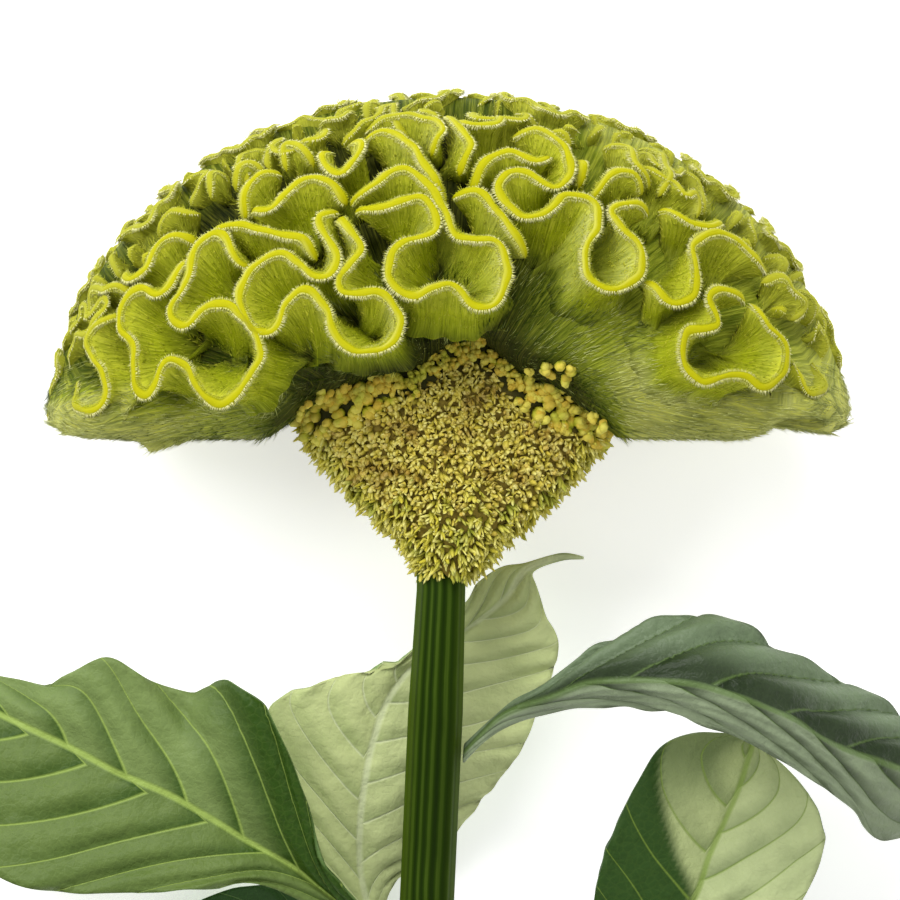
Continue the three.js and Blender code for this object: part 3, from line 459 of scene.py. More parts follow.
def ridge_lines(corners, triangles):
    """Chains of dome corners: each starts at a corner with one neighbour and is followed to its end."""
    on_dome = np.abs(dome_level(corners) - 1) < RIDGE_CLOSENESS
    edges = np.concatenate([triangles[:, pair] for pair in ([0, 1], [1, 2], [2, 0])])
    edges = np.sort(edges, axis=1)
    edges = np.unique(edges[on_dome[edges].all(axis=1)], axis=0)
    beside = {}
    for a, b in edges.tolist():
        beside.setdefault(a, set()).add(b)
        beside.setdefault(b, set()).add(a)
    lines = []
    for start in sorted(beside):
        if len(beside[start]) != 1:
            continue
        chain = [start]
        while beside[chain[-1]]:
            following = beside[chain[-1]].pop()
            beside[following].discard(chain[-1])
            chain.append(following)
        lines.append(corners[chain])
    return lines


ridges = ridge_lines(*solid_corners("comb"))
ridge_length = sum(np.linalg.norm(np.diff(line, axis=0), axis=1).sum() for line in ridges)
print(f"{len(ridges)} ridges, {ridge_length:.0f} mm in all")

# %% [markdown]
# ## The folded walls
# Under its edge the comb is a thin wall. Deeper down the wall is shorter than its edge, so it can't follow
# every loop: it cuts the corners, and each loop opens as a funnel or hangs as a lip. That could be sculpted,
# or left to a cloth simulation, but then no fold would stay under its drawn edge. Cutting corners is also
# exactly what smoothing a line does, so the wall is the crown line softened more and more with depth and
# moved inwards. The cross section is a rounded lip on a slim neck, widening to a foot in the flesh.

# %% Where the walls lean
# The way into the head aims at the heart of the fan, a point that follows each wall part of the way aside.
FAN_HEART = (38.0, 37.5)
HEART_FOLLOWS = 0.4
LEAN_AT_TOP = 0.25
LEAN_MORE_AT_RIM = 0.5
RIM_LOWEST = 36.0
RIM_ARCH = 20.0
RIM_HALF_WIDTH = 52.0
RIM_REACH = 30.0


def rim_height(x):
    """The lowest height of a fold: an arch over the fan, low at the head's two ends."""
    return RIM_LOWEST + RIM_ARCH * np.maximum(0, 1 - (x / RIM_HALF_WIDTH) ** 2)


def wall_lean(points):
    """The way down into the head: straight in at the top, and more and more to the fan near the rim."""
    inward = -unit(dome_slope(points))
    rest = (np.full(len(points), place) for place in FAN_HEART)
    heart = np.stack([HEART_FOLLOWS * points[:, 0], *rest], axis=1)
    low = 1 - smooth_step(points[:, 1] - rim_height(points[:, 0]), 0, RIM_REACH)
    share = (LEAN_AT_TOP + LEAN_MORE_AT_RIM * low)[:, None]
    return unit(inward * (1 - share) + unit(heart - points) * share)


# %% The flesh under the walls
# The upper edge of the fan on the face: places along x, then heights.
FAN_EDGE = (
    (-34, -27, -17, -10, -5, -3, 1, 4, 7, 10, 13, 17, 25, 27, 34),
    (30.0, 37.5, 41.5, 42.5, 44.0, 46.0, 48.5, 50.5, 49.0, 46.5, 43.5, 41.5, 38.5, 36.0, 30.0),
)
FAN_EDGE_GAP = 0.5
MARGIN_Y = 29.0
MARGIN_WAVE = 1.0
MARGIN_WAVE_LENGTH = 31.0
MARGIN_WAVE_START = 9.0
MARGIN_ENDS = (30.0, 42.0)
ARCH_RISE = 22.0
ARCH_OVER_MARGIN = 2.0
ARCH_HALF_WIDTH = 56.0
ARCH_ROUNDNESS = 1.4
ARCH_FROM_MIDDLE = (10.0, 31.0)
FLAP_X = -58.5
FLAP_Z = 50.0
FLAP_WIDTH = 2.6
FLAP_THICKNESS = 9.0
FLAP_DROP = 5.0
NOTCH_X = 67.5
NOTCH_WIDTH = 4.2
NOTCH_RISE = 3.2
FLESH_DEPTH = 12.5
FLESH_BACK_DEPTH = 1.9
FLESH_FACE_Z = (40.0, 60.0)
LOW_ENDS_X = (52.0, 72.0)
LOW_ENDS_Y = (36.0, 50.0)
LOW_ENDS_RISE = 0.95
FLESH_BLEND = 1.6
FOOT_SUNK = 0.35


def fan_outline(x):
    """The upper edge of the fan of florets on the face: a low, uneven gable."""
    return np.interp(x, *FAN_EDGE)


def underside(points):
    """Height of the head's underside: a gable over the fan, an arch in front and behind, a wavy margin at
    both ends, one small flap that hangs from it at the left and one notch at the right."""
    x, z = points[..., 0], points[..., 2]
    wave = np.cos(2 * np.pi * (x - MARGIN_WAVE_START) / MARGIN_WAVE_LENGTH)
    margin = MARGIN_Y + MARGIN_WAVE * wave * smooth_step(np.abs(x), *MARGIN_ENDS)
    gable = np.maximum(margin, fan_outline(x) + FAN_EDGE_GAP)
    arched = np.maximum(0, 1 - (x / ARCH_HALF_WIDTH) ** 2) ** ARCH_ROUNDNESS
    arch = margin + ARCH_OVER_MARGIN + ARCH_RISE * arched
    out = smooth_step(np.abs(z - DOME_MIDDLE[2]), *ARCH_FROM_MIDDLE)
    flap = FLAP_DROP * np.exp(-(((x - FLAP_X) / FLAP_WIDTH) ** 2) - ((z - FLAP_Z) / FLAP_THICKNESS) ** 2)
    notch = NOTCH_RISE * np.exp(-(((x - NOTCH_X) / NOTCH_WIDTH) ** 2))
    return gable * (1 - out) + arch * out - flap + notch


def flesh_depth(points):
    """How deep the flesh lies under the dome: deepest under the face, and nearly bare at both ends of
    the margin, where the lowest folds pass into it."""
    face = smooth_step(points[..., 2], *FLESH_FACE_Z)
    depth = FLESH_BACK_DEPTH + (FLESH_DEPTH - FLESH_BACK_DEPTH) * face
    at_end = smooth_step(np.abs(points[..., 0]), *LOW_ENDS_X)
    low = 1 - smooth_step(points[..., 1], *LOW_ENDS_Y)
    return depth * (1 - LOW_ENDS_RISE * (at_end * low))


def flesh_gap(points):
    """Roughly how far a point is outside the flesh: the larger of its distances past the dome of flesh and
    past the underside, with the corner between the two rounded over a few millimetres."""
    over_dome = (dome_level(points, flesh_depth(points)) ** 0.5 - 1) * DOME_HALF_DEPTH
    below = underside(points) - points[..., 1]
    return FLESH_BLEND * np.logaddexp(over_dome / FLESH_BLEND, below / FLESH_BLEND)


def in_flesh(points):
    """True inside the flesh that carries the walls."""
    return flesh_gap(points) < 0


def sunk_in_flesh(points):
    """Points moved along the slope of the gap until they lie just under the flesh's surface."""
    for _ in range(4):
        gap = flesh_gap(points)
        slope = np.stack([flesh_gap(points + nudge) - gap for nudge in 0.1 * np.eye(3)], axis=-1) / 0.1
        steepness = np.maximum((slope**2).sum(axis=-1), 0.1)
        points = points - np.clip(((gap + FOOT_SUNK) / steepness)[..., None] * slope, -3, 3)
    return points


# %% Waves of a crown line
RUFFLE_LENGTH = 11.0
RUFFLE_HEIGHT = 1.3
RUFFLE_FADE = (50.0, 62.0)
# Length and height of the crimps that run along every crown.
CRIMPS = ((4.3, 0.16), (6.7, 0.22))
CRIMP_SOFTENING = 1.0


def how_far_behind(points):
    """0 on the drawn face, 1 behind it."""
    return 1 - smooth_step(points[..., 2], *RUFFLE_FADE)


def ruffled(line, step):
    """The line waved sideways on the dome by sines of its run: ruffles behind the drawn face, and small
    crimps everywhere."""
    sideways = unit(np.cross(np.gradient(line, axis=0), dome_slope(line)))
    waves = max(1, round(len(line) * step / RUFFLE_LENGTH))
    turn = 2 * np.pi * waves * np.linspace(0, 1, len(line))
    wave = RUFFLE_HEIGHT * how_far_behind(line) * np.sin(turn + line[0, 0])
    run = np.arange(len(line)) * step
    for length, height in CRIMPS:
        wave += height * np.sin(2 * np.pi * run / length + line[0, 1])
    return softened(line + sideways * wave[:, None], CRIMP_SOFTENING, step)


# %% The section of a wall
# Depths and half widths of the lip, then of the rows below it, whose depths are shares of the way from
# the lip to the foot.
LIP_DEPTHS = np.array([0.0, 0.07, 0.32, 0.75, 1.4, 3.2])
LIP_HALVES = np.array([0.0, 0.46, 0.78, 0.9, 0.88, 1.0])
FOOT_SHARES = np.array([0.14, 0.3, 0.5, 0.7, 0.87, 1.0])
FOOT_HALVES = np.array([1.3, 1.7, 2.3, 3.4, 5.2, 8.5])
# How wide the bell is that softens the crown line at some depths.
SOFTENING_DEPTHS = np.array([0.0, 1.0, 3.2, 8.0, 14.0])
SOFTENING_WIDTHS = np.array([0.0, 2.0, 4.3, 7.0, 9.0])
WALL_MOST_DEPTH = 22.0
PROBE_STEP = 0.5
FOOT_BELOW_FLESH = 1.5
FOOT_SOFTENING = 3.0
SHORTEST_WALL = 2.0
ROUND_END = 1.6
END_REACH = 6.0
END_DIVE = 3.5
END_FOOT_SHARE = 0.15
BACK_END_REACH = 12.0
BACK_END_MOST_SHARE = 0.42
BACK_END_DIVE = 3.2
BACK_BUMP_LENGTH = 6.3
BACK_BUMP_HEIGHT = 0.3
BACK_LIP_SHARE = 0.8
# Length and height of the waves in which the lip swells and shrinks along the crown.
LIP_WAVES = ((5.1, 0.07), (13.0, 0.13), (29.0, 0.1))


def section_levels(line, lean, step):
    """Depths of a section's rows at each place: the lip's, then those down to the foot. The way in is
    probed at small steps, and the foot goes a little deeper than the first probe inside the flesh."""
    foot_line = softened(line, SOFTENING_WIDTHS[-1], step)
    depths = np.arange(0, WALL_MOST_DEPTH + 0.1, PROBE_STEP)
    inside = in_flesh(foot_line[:, None, :] + lean[:, None, :] * depths[None, :, None])
    first_inside = np.where(inside.any(axis=1), depths[inside.argmax(axis=1)], WALL_MOST_DEPTH)
    foot_depth = softened((first_inside + FOOT_BELOW_FLESH)[:, None], FOOT_SOFTENING, step)
    last_lip = LIP_DEPTHS[-1]
    foot_depth = np.maximum(foot_depth, last_lip + SHORTEST_WALL)
    below_lip = last_lip + (foot_depth - last_lip) * FOOT_SHARES[None, :]
    return np.concatenate([np.tile(LIP_DEPTHS, (len(line), 1)), below_lip], axis=1)


def crown_dive(line, run, to_end, sunk):
    """How far each section is let into the head: by the square of its nearness to the ridge's end, and
    behind the face in a row of small bumps too."""
    behind = how_far_behind(line)
    dive = sunk + END_DIVE * (1 - np.clip(to_end / END_REACH, 0, 1)) ** 2 * (1 - behind)
    back_reach = min(BACK_END_REACH, BACK_END_MOST_SHARE * run[-1])
    dive += BACK_END_DIVE * (1 - np.clip(to_end / back_reach, 0, 1)) ** 2 * behind
    bumps = 1 + np.sin(2 * np.pi * run / BACK_BUMP_LENGTH + line[0, 1])
    return dive + BACK_BUMP_HEIGHT * behind * bumps


def crown_fullness(line, run, to_end):
    """Share of its width that each section keeps: a quarter circle at both ends, less behind the face, and
    a product of sines of the run that let the lip swell and shrink."""
    round_end = np.sqrt(1 - (1 - np.clip(to_end / ROUND_END, 0.02, 1)) ** 2)
    fullness = round_end * (1 - (1 - BACK_LIP_SHARE) * how_far_behind(line))
    for length, height in LIP_WAVES:
        fullness *= 1 + height * np.sin(2 * np.pi * run / length + line[0, 1])
    return fullness


# %% One wall
RIDGE_STEP = 0.8
LOWEST_RIDGE_Y = 38.0
TABLE_GAP = 0.15


def wall_rings(ridge, step=RIDGE_STEP, sunk=0.0):
    """Rings of one wall: for each place along the ridge a closed section, from its left foot over the
    crown to its right foot. Also each ring's run along the ridge and each point's depth and side."""
    line = settled(ruffled(even_path(ridge, step), step))
    run = np.arange(len(line)) * step
    to_end = np.minimum(run, run[-1] - run)
    lean = wall_lean(line)
    levels = section_levels(line, lean, step)
    dive = crown_dive(line, run, to_end, sunk)
    middles, sides = [], []
    for level in range(levels.shape[1]):
        width = np.interp(levels[:, level].mean(), SOFTENING_DEPTHS, SOFTENING_WIDTHS)
        path = softened(line, width, step)
        middles.append(path + lean * (levels[:, level] + dive)[:, None])
        sides.append(unit(np.cross(np.gradient(path, axis=0), lean)))
    middles, sides = np.stack(middles, axis=1), np.stack(sides, axis=1)
    foot_share = END_FOOT_SHARE + (1 - END_FOOT_SHARE) * smooth_step(to_end, 0, END_REACH)
    feet = 1 + (FOOT_HALVES - 1)[None, :] * foot_share[:, None]
    halves = np.concatenate([np.tile(LIP_HALVES, (len(line), 1)), feet], axis=1)
    offsets = sides * (halves * crown_fullness(line, run, to_end)[:, None])[..., None]
    left, right = middles - offsets, middles + offsets
    left[:, -1], right[:, -1] = sunk_in_flesh(left[:, -1]), sunk_in_flesh(right[:, -1])
    rings = np.concatenate([left[:, :0:-1], right], axis=1)
    rings[..., 2] = np.maximum(rings[..., 2], TABLE_GAP)
    ring_depths = np.concatenate([levels[:, :0:-1], levels], axis=1)
    side = np.concatenate([-np.ones(levels.shape[1] - 1), np.ones(levels.shape[1])])
    return rings, run, ring_depths, side


high_ridges = [ridge for ridge in ridges if len(ridge) > 2 and ridge[:, 1].mean() > LOWEST_RIDGE_Y]
walls = [wall_rings(ridge) for ridge in high_ridges]
print(f"{len(walls)} walls, {sum(len(rings) for rings, *_ in walls)} sections")

# %% [markdown]
# ### Smaller folds in between
# Between the great folds on the top and the back the edge is thrown into smaller, lower ones. Drawing each
# by hand would take long and still leave gaps, and a noise pattern has no lines. So they are grown the
# way the living edge grows: a short seed line is pushed away by everything nearer than the gap and pulled
# by its own neighbours, and it gains a point wherever it has room, until the room is filled.

# %% Growing the smaller folds
GROWTH_GAP = 4.0
GROWTH_STEP = 2.0
GROWTH_ROUNDS = 90
GROWTH_CHANCE = 0.1
GROWTH_ROOM = 0.85
LONGEST_PUSH = 0.8
NEIGHBOUR_PULL = 0.3
STRAIGHTENING = 0.12
SEED_TRIES = 9000
SEED_ROOM = 3.2
RIM_GAP = 2.0
LOWEST_FOLD_Z = 3.0
FREE_FRONT_Z = 58.0
LOW_FRONT_STEP = 14.0
LOW_FRONT_Y = (44, 58)
SHORTEST_FOLD = 6
SMALL_FOLD_SUNK = 0.7
SMALL_STEP = 1.35
SMALL_FOLD_SOFTENING = 1.7
# One small loop closes the drawn folds at the right end of the head.
END_LOOP = np.array(
    [
        [73.6, 45.0, 57],
        [70.8, 44.6, 58],
        [71.4, 41.6, 58],
        [74.0, 38.8, 57],
        [77.2, 39.8, 54],
        [78.4, 43.2, 52],
        [77.6, 46.6, 50],
    ]
)


def squared_gaps(a, b):
    """Squared distance from each point of a to each of b."""
    return np.maximum((a**2).sum(1)[:, None] + (b**2).sum(1)[None] - 2 * a @ b.T, 1e-12)


def in_room(points):
    """Points kept above the rim, behind the face and over the table, and settled on the dome."""
    points = points.copy()
    points[:, 1] = np.maximum(points[:, 1], rim_height(points[:, 0]) + RIM_GAP)
    front = FREE_FRONT_Z - LOW_FRONT_STEP * (1 - smooth_step(points[:, 1], *LOW_FRONT_Y))
    points[:, 2] = np.clip(points[:, 2], LOWEST_FOLD_Z, front)
    return settled(points)


def seed_lines(fixed, random):
    """Short lines at random places of the dome that lie far from every ridge and from each other."""
    ways = unit(random.normal(size=(SEED_TRIES, 3)))
    places = in_room(DOME_MIDDLE + ways * np.array([DOME_HALF_WIDTH, DOME_RISE, DOME_HALF_DEPTH]))
    places = places[squared_gaps(places, fixed).min(axis=1) > SEED_ROOM**2]
    chosen = []
    for place in places:
        if all(np.linalg.norm(place - other) > 2 * GROWTH_GAP for other in chosen):
            chosen.append(place)
    lines = []
    for place in chosen:
        aside = unit(np.cross(dome_slope(place), random.normal(size=3)))
        lines.append(in_room(place + aside * GROWTH_STEP * np.arange(-1, 2)[:, None]))
    return lines


def growth_push(lines, fixed):
    """For each point of the lines, the push away from all that is nearer than the gap, each by the share of
    the gap that is missing, and the room round the point as a share of the gap. Its own neighbours along
    the line don't count."""
    points = np.concatenate(lines)
    line_of = np.repeat(np.arange(len(lines)), [len(line) for line in lines])
    at = np.concatenate([np.arange(len(line)) for line in lines])
    others = np.concatenate([points, fixed])
    gaps = np.sqrt(squared_gaps(points, others))
    near = math.ceil(GROWTH_GAP / GROWTH_STEP) + 1
    beside = (line_of[:, None] == line_of[None]) & (np.abs(at[:, None] - at[None]) <= near)
    gaps[:, : len(points)][beside] = 100 * GROWTH_GAP
    room = gaps.min(axis=1) / GROWTH_GAP
    share = np.where(gaps < GROWTH_GAP, (1 - gaps / GROWTH_GAP) / gaps, 0)
    push = points * share.sum(axis=1, keepdims=True) - share @ others
    push *= np.minimum(1, LONGEST_PUSH / np.maximum(np.linalg.norm(push, axis=1, keepdims=True), 1e-9))
    return [(push[line_of == number], room[line_of == number]) for number in range(len(lines))]


def grow_line(line, push, room, random):
    """One line moved by its push, pulled by its two neighbours like springs of one step's length and
    straightened a little, then given new points halfway where there is room or the step is too long."""
    pushed = line + push
    for shift in (1, -1):
        pull = np.roll(line, shift, axis=0) - line
        length = np.maximum(np.linalg.norm(pull, axis=1, keepdims=True), 0.1)
        stretch = NEIGHBOUR_PULL * (1 - GROWTH_STEP / length) * pull
        stretch[0 if shift == 1 else -1] = 0
        pushed += stretch
    pushed[1:-1] += STRAIGHTENING * (0.5 * (line[:-2] + line[2:]) - line[1:-1])
    pushed = in_room(pushed)
    length = np.linalg.norm(np.diff(pushed, axis=0), axis=1)
    has_room = np.minimum(room[1:], room[:-1]) > GROWTH_ROOM
    grows = has_room & (length > 0.7 * GROWTH_STEP) & (random.random(len(length)) < GROWTH_CHANCE)
    grows |= length > 1.4 * GROWTH_STEP
    where = np.flatnonzero(grows) + 1
    halfway = 0.5 * (pushed[where] + pushed[where - 1])
    return np.insert(pushed, where, halfway, axis=0)


growth_random = np.random.default_rng(5)
fixed_points = np.concatenate([even_path(ridge, GROWTH_STEP) for ridge in ridges])
grown_lines = seed_lines(fixed_points, growth_random)
for _ in range(GROWTH_ROUNDS):
    pushes = growth_push(grown_lines, fixed_points)
    grown_lines = [grow_line(line, *push, growth_random) for line, push in zip(grown_lines, pushes)]
long_lines = [even_path(line, SMALL_STEP) for line in grown_lines if len(line) >= SHORTEST_FOLD]
small_ridges = [softened(line, SMALL_FOLD_SOFTENING, SMALL_STEP) for line in long_lines]
small_ridges.append(settled(END_LOOP))
small_walls = [wall_rings(line, SMALL_STEP, SMALL_FOLD_SUNK) for line in small_ridges]
small_length = sum(run[-1] for _, run, _, _ in small_walls)
print(f"{len(small_walls)} smaller folds, {small_length:.0f} mm in all")

# %% [markdown]
# ### Finish of the comb
# The lip is a smooth saturated yellow, with painted shade where it rounds over at its edges. Under it the
# wall turns lime, then green, then dark olive in the depth, where the darkening is painted shade of the
# valleys, and fine pale hairs run down it from the lip. Where a wall faces left it is painted paler in
# patches, as light from the left. The colour follows each point's depth under the crown, broken up by hair
# streaks, and the same streaks raise a fine relief. Patches painted in an image would have to be fitted to
# every fold, while a depth fits them all at once. The walls are thin and let a little light through, so the
# shader scatters part of it under the surface, and shadows on them stay soft and yellow.

# %% Comb colours
LIP_YELLOW = srgb(176, 173, 0)
# Painted shade: the lip's darker edge, where it rounds over.
LIP_EDGE_SHADE = srgb(156, 156, 0)
LIP_UNDER = srgb(194, 196, 50)
WALL_LIME = srgb(208, 214, 48)
WALL_GREEN = srgb(200, 210, 8)
WALL_OLIVE = srgb(146, 160, 0)
WALL_DEPTH_SHADE = srgb(44, 58, 0)
BACK_LIME = srgb(160, 162, 50)
# Painted light from the left: the pale colour of walls that face left, in patches.
PAINTED_LEFT_LIGHT = srgb(236, 238, 150)
SKIRT_PALE = srgb(178, 180, 104)
SKIRT_GREEN = srgb(138, 152, 32)
SKIRT_DEEP = srgb(82, 100, 3)
SKIRT_DARK = srgb(30, 40, 0)
DOWN_CREAM = srgb(226, 226, 84)
GAP_SHADE = (0.32, 0.38, 0.12, 1.0)
# The depth in millimetres at which a wall is darkest, and the colours on the way there. Yellow, lime and
# green are the comb's own; the darkening through olive towards the depth is painted shade of the valleys,
# and the lip's darker edge is painted shade too.
COLOUR_DEPTH = 18.0
WALL_STOPS = [
    (0.0, LIP_YELLOW),
    (0.005, LIP_YELLOW),
    (0.02, LIP_EDGE_SHADE),
    (0.045, LIP_UNDER),
    (0.14, WALL_LIME),
    (0.4, WALL_GREEN),
    (0.7, WALL_OLIVE),
    (1.0, WALL_DEPTH_SHADE),
]
# The skirt's colours, from pale to dark, follow the flesh's painted shade.
SKIRT_STOPS = [(0.0, SKIRT_PALE), (0.35, SKIRT_GREEN), (0.7, SKIRT_DEEP), (1.0, SKIRT_DARK)]
# Width and length in millimetres of coarse and fine hair streaks, on the walls and on the skirt.
WALL_LOCKS = {"Width": 0.42, "Length": 8.0}
WALL_HAIRS = {"Width": 0.2, "Length": 4.0}
SKIRT_LOCKS = {"Width": 0.6, "Length": 9.0}
SKIRT_HAIRS = {"Width": 0.3, "Length": 5.0}

# %% Comb material


def wall_colour(tree, down, below_lip):
    """The ramp of the depth, painted paler in patches where a wall faces left, as light from the left, and
    duller behind the face.
    """
    lit_patch = stretched(tree, use_group(tree, BLOTCHES, Size=30.0), 0.25, 0.8)
    near_lip = stretched(tree, down, 0.85, 0.15)
    under_lip = arithmetic(tree, "MULTIPLY_ADD", below_lip, 0.75, 0.25)
    pale_share = product(tree, mark_value(tree, "left_light"), lit_patch, near_lip, under_lip)
    colour = mixed(tree, pale_share, ramp(tree, down, WALL_STOPS), PAINTED_LEFT_LIGHT)
    return mixed(tree, product(tree, mark_value(tree, "behind"), 0.8), colour, BACK_LIME)


def comb_material():
    """On a wall the colour follows the depth under the crown, on the flesh its painted shade; the mark bare
    passes from one to the other. Hair streaks darken the gaps between hairs with painted shade, lighten the
    hairs in pale lines that are partly their own colour and partly painted sheen, fading with depth and
    shade, and raise the relief; the lip itself stays smooth."""
    material, tree, shader = new_material(
        "comb velvet",
        Roughness=0.7,
        Specular_IOR_Level=0.12,
        Subsurface_Weight=0.3,
        Subsurface_Radius=(1.0, 1.0, 0.3),
        Subsurface_Scale=1.5 * MM,
    )
    bare = mark_value(tree, "bare")
    on_wall = {"Across": mark_value(tree, "across"), "Along": mark_value(tree, "along")}
    on_flesh = {"Across": mark_value(tree, "sweep"), "Along": mark_value(tree, "reach")}
    wall_lock = use_group(tree, STREAKS, **WALL_LOCKS, **on_wall)
    wall_hair = use_group(tree, STREAKS, **WALL_HAIRS, **on_wall)
    lock = blended(tree, bare, wall_lock, use_group(tree, STREAKS, **SKIRT_LOCKS, **on_flesh))
    hair = blended(tree, bare, wall_hair, use_group(tree, STREAKS, **SKIRT_HAIRS, **on_flesh))
    down = arithmetic(tree, "DIVIDE", mark_value(tree, "depth"), COLOUR_DEPTH)
    below_lip = stretched(tree, down, 0.04, 0.14)
    shade = mark_value(tree, "shade")
    skin = mixed(tree, bare, wall_colour(tree, down, below_lip), ramp(tree, shade, SKIRT_STOPS))
    hairy = arithmetic(tree, "MAXIMUM", below_lip, bare)
    gap_share = product(tree, arithmetic(tree, "SUBTRACT", 1.0, lock), 0.68, hairy)
    gaps = mixed(tree, gap_share, skin, GAP_SHADE, "MULTIPLY")
    dim = arithmetic(tree, "MAXIMUM", product(tree, shade, bare), down)
    lit = arithmetic(tree, "MULTIPLY_ADD", arithmetic(tree, "MINIMUM", dim, 1.0), -0.66, 0.86)
    haired = mixed(tree, product(tree, hair, lock, lit, hairy), gaps, DOWN_CREAM)
    dull_share = product(tree, use_group(tree, BLOTCHES, Size=12.0), hairy, 0.3)
    velvet = mixed(tree, dull_share, haired, GAP_SHADE, "MULTIPLY")
    tree.links.new(velvet, shader.inputs["Base Color"])
    relief = product(tree, arithmetic(tree, "ADD", lock, hair), hairy)
    raise_relief(tree, shader, relief, strength=0.7, distance=0.3)
    return material


comb_velvet = comb_material()

# %% Numbers for the comb's points
FUR_SWEEP = 45.0
FUR_HEART_GAP = 8.0
FUR_DEPTH_PULL = 1.3
FUR_FLAT_Z = (46.0, 60.0)
# Ranges and shares of the flesh's painted shade.
DEEP_FLESH = (1.0, 13.0)
RIGHT_SIDE_X = (8.0, 34.0)
RIGHT_PALENESS = 0.62
MARGIN_X = (28.0, 42.0)
MARGIN_RISE = (1.0, 12.0)
MARGIN_PALENESS = 0.7
OVER_FAN_RISE = (0.0, 8.0)
OVER_FAN_HALF_WIDTH = 34.0
OVER_FAN_SHADE = 0.3
BEHIND_SHADE = 0.75


def gather_tubes(tubes):
    """Points and faces of many tubes of closed rings, one after another."""
    points, quads, triangles, first = [], [], [], 0
    for rings in tubes:
        walls_of_tube, caps = tube_faces(len(rings), rings.shape[1], first)
        points.append(tube_points(rings))
        quads.append(walls_of_tube)
        triangles.append(caps)
        first += len(points[-1])
    return np.concatenate(points), np.concatenate(quads), np.concatenate(triangles)


def tube_marks(values):
    """Numbers for a tube's points from a table for its rings, with the ends' means for the hubs."""
    return np.concatenate([values.ravel(), values[[0, -1]].mean(axis=1)])


def flesh_shade(points):
    """How much painted shade the flesh takes: darker with depth under the lips, in the hollow over the fan
    and in the valleys behind, paler to the right and along the margin. It follows from the place alone, so a
    wall's foot and the flesh beside it agree."""
    x, y = points[:, 0], points[:, 1]
    depth = np.maximum(0, 1 - dome_level(points) ** 0.5) * DOME_HALF_DEPTH
    at_margin = smooth_step(np.abs(x), *MARGIN_X) * (1 - smooth_step(y - underside(points), *MARGIN_RISE))
    over_fan = 1 - smooth_step(y - fan_outline(x), *OVER_FAN_RISE)
    shade = smooth_step(depth, *DEEP_FLESH)
    shade = shade - RIGHT_PALENESS * smooth_step(x, *RIGHT_SIDE_X) - MARGIN_PALENESS * at_margin
    shade = shade + OVER_FAN_SHADE * over_fan * (np.abs(x) < OVER_FAN_HALF_WIDTH)
    return np.clip(shade + BEHIND_SHADE * how_far_behind(points) * (1 - at_margin), 0, 1)


def flesh_marks(points):
    """The numbers that colour the flesh. Its fur flows away from the fan's heart: reach is the distance from
    it, and sweep the angle aside round it. In front the depth counts for nothing, so that the streaks there
    lie in the plane of the face."""
    away = points - np.array([0.0, *FAN_HEART])
    away[:, 2] *= 1 - smooth_step(points[:, 2], *FUR_FLAT_Z)
    ahead = np.hypot(np.abs(away[:, 1]) + FUR_HEART_GAP, FUR_DEPTH_PULL * away[:, 2])
    return {
        "sweep": FUR_SWEEP * np.arctan2(away[:, 0], ahead),
        "reach": np.linalg.norm(away, axis=1),
        "shade": flesh_shade(points),
        "behind": how_far_behind(points),
    }


def facing_left(rings):
    """How much each side of a wall faces left and a little up: from the point across the wall to this. It
    marks where light from the left is painted.
    """
    outward = unit(rings - rings[:, ::-1])
    return smooth_step(-outward[..., 0] + 0.3 * outward[..., 1], 0.15, 0.95)


# %% The walls as one piece
SIDE_SHIFT = 40.0
WALL_SHIFT = 100.0
SMALL_WALLS_RUN = 9000.0
BARE_GAP = (0.2, 3.5)
BARE_DEPTH = (2.0, 5.0)


def fold_piece(name, its_walls, first_run):
    """All the walls of one list as one piece. Hairs are counted along the ridge, so each side of each
    wall reads its own stretch of the streaks, and they run with the depth."""
    points, quads, caps = gather_tubes([rings for rings, *_ in its_walls])
    across, depth, left_light = [], [], []
    for rings, run, ring_depths, side in its_walls:
        left_light.append(tube_marks(facing_left(rings)))
        across.append(tube_marks(first_run + run[:, None] + SIDE_SHIFT * side[None, :]))
        depth.append(tube_marks(ring_depths))
        first_run += run[-1] + WALL_SHIFT
    depth = np.concatenate(depth)
    bare = (1 - smooth_step(flesh_gap(points), *BARE_GAP)) * smooth_step(depth, *BARE_DEPTH)
    marks = {"across": np.concatenate(across), "along": depth, "depth": depth, "bare": bare}
    marks["left_light"] = np.concatenate(left_light)
    marks |= flesh_marks(points)
    return mesh_piece(name, points, [quads, caps], comb_velvet, ["comb"], marks)


fold_piece("comb_folds", walls, 0.0)
fold_piece("comb_small_folds", small_walls, SMALL_WALLS_RUN)

# %% [markdown]
# ### The flesh under the folds
# The walls stand on one body of flesh, seen as the floor of the valleys, painted dark with shade, and, below
# the lowest lips, as a broad smooth skirt that runs down to the florets. A boolean could join dome and
# underside, but it leaves a sharp seam. So the flesh is a ball pulled out to its surface: from one middle
# point each ray runs outwards until it leaves the flesh.

# %% The flesh
FLESH_MIDDLE = np.array([0.0, 60.0, 37.5])
FLESH_AROUND = 160
FLESH_OVER = 92
HALVINGS = 22
FLESH_TABLE_GAP = 0.3


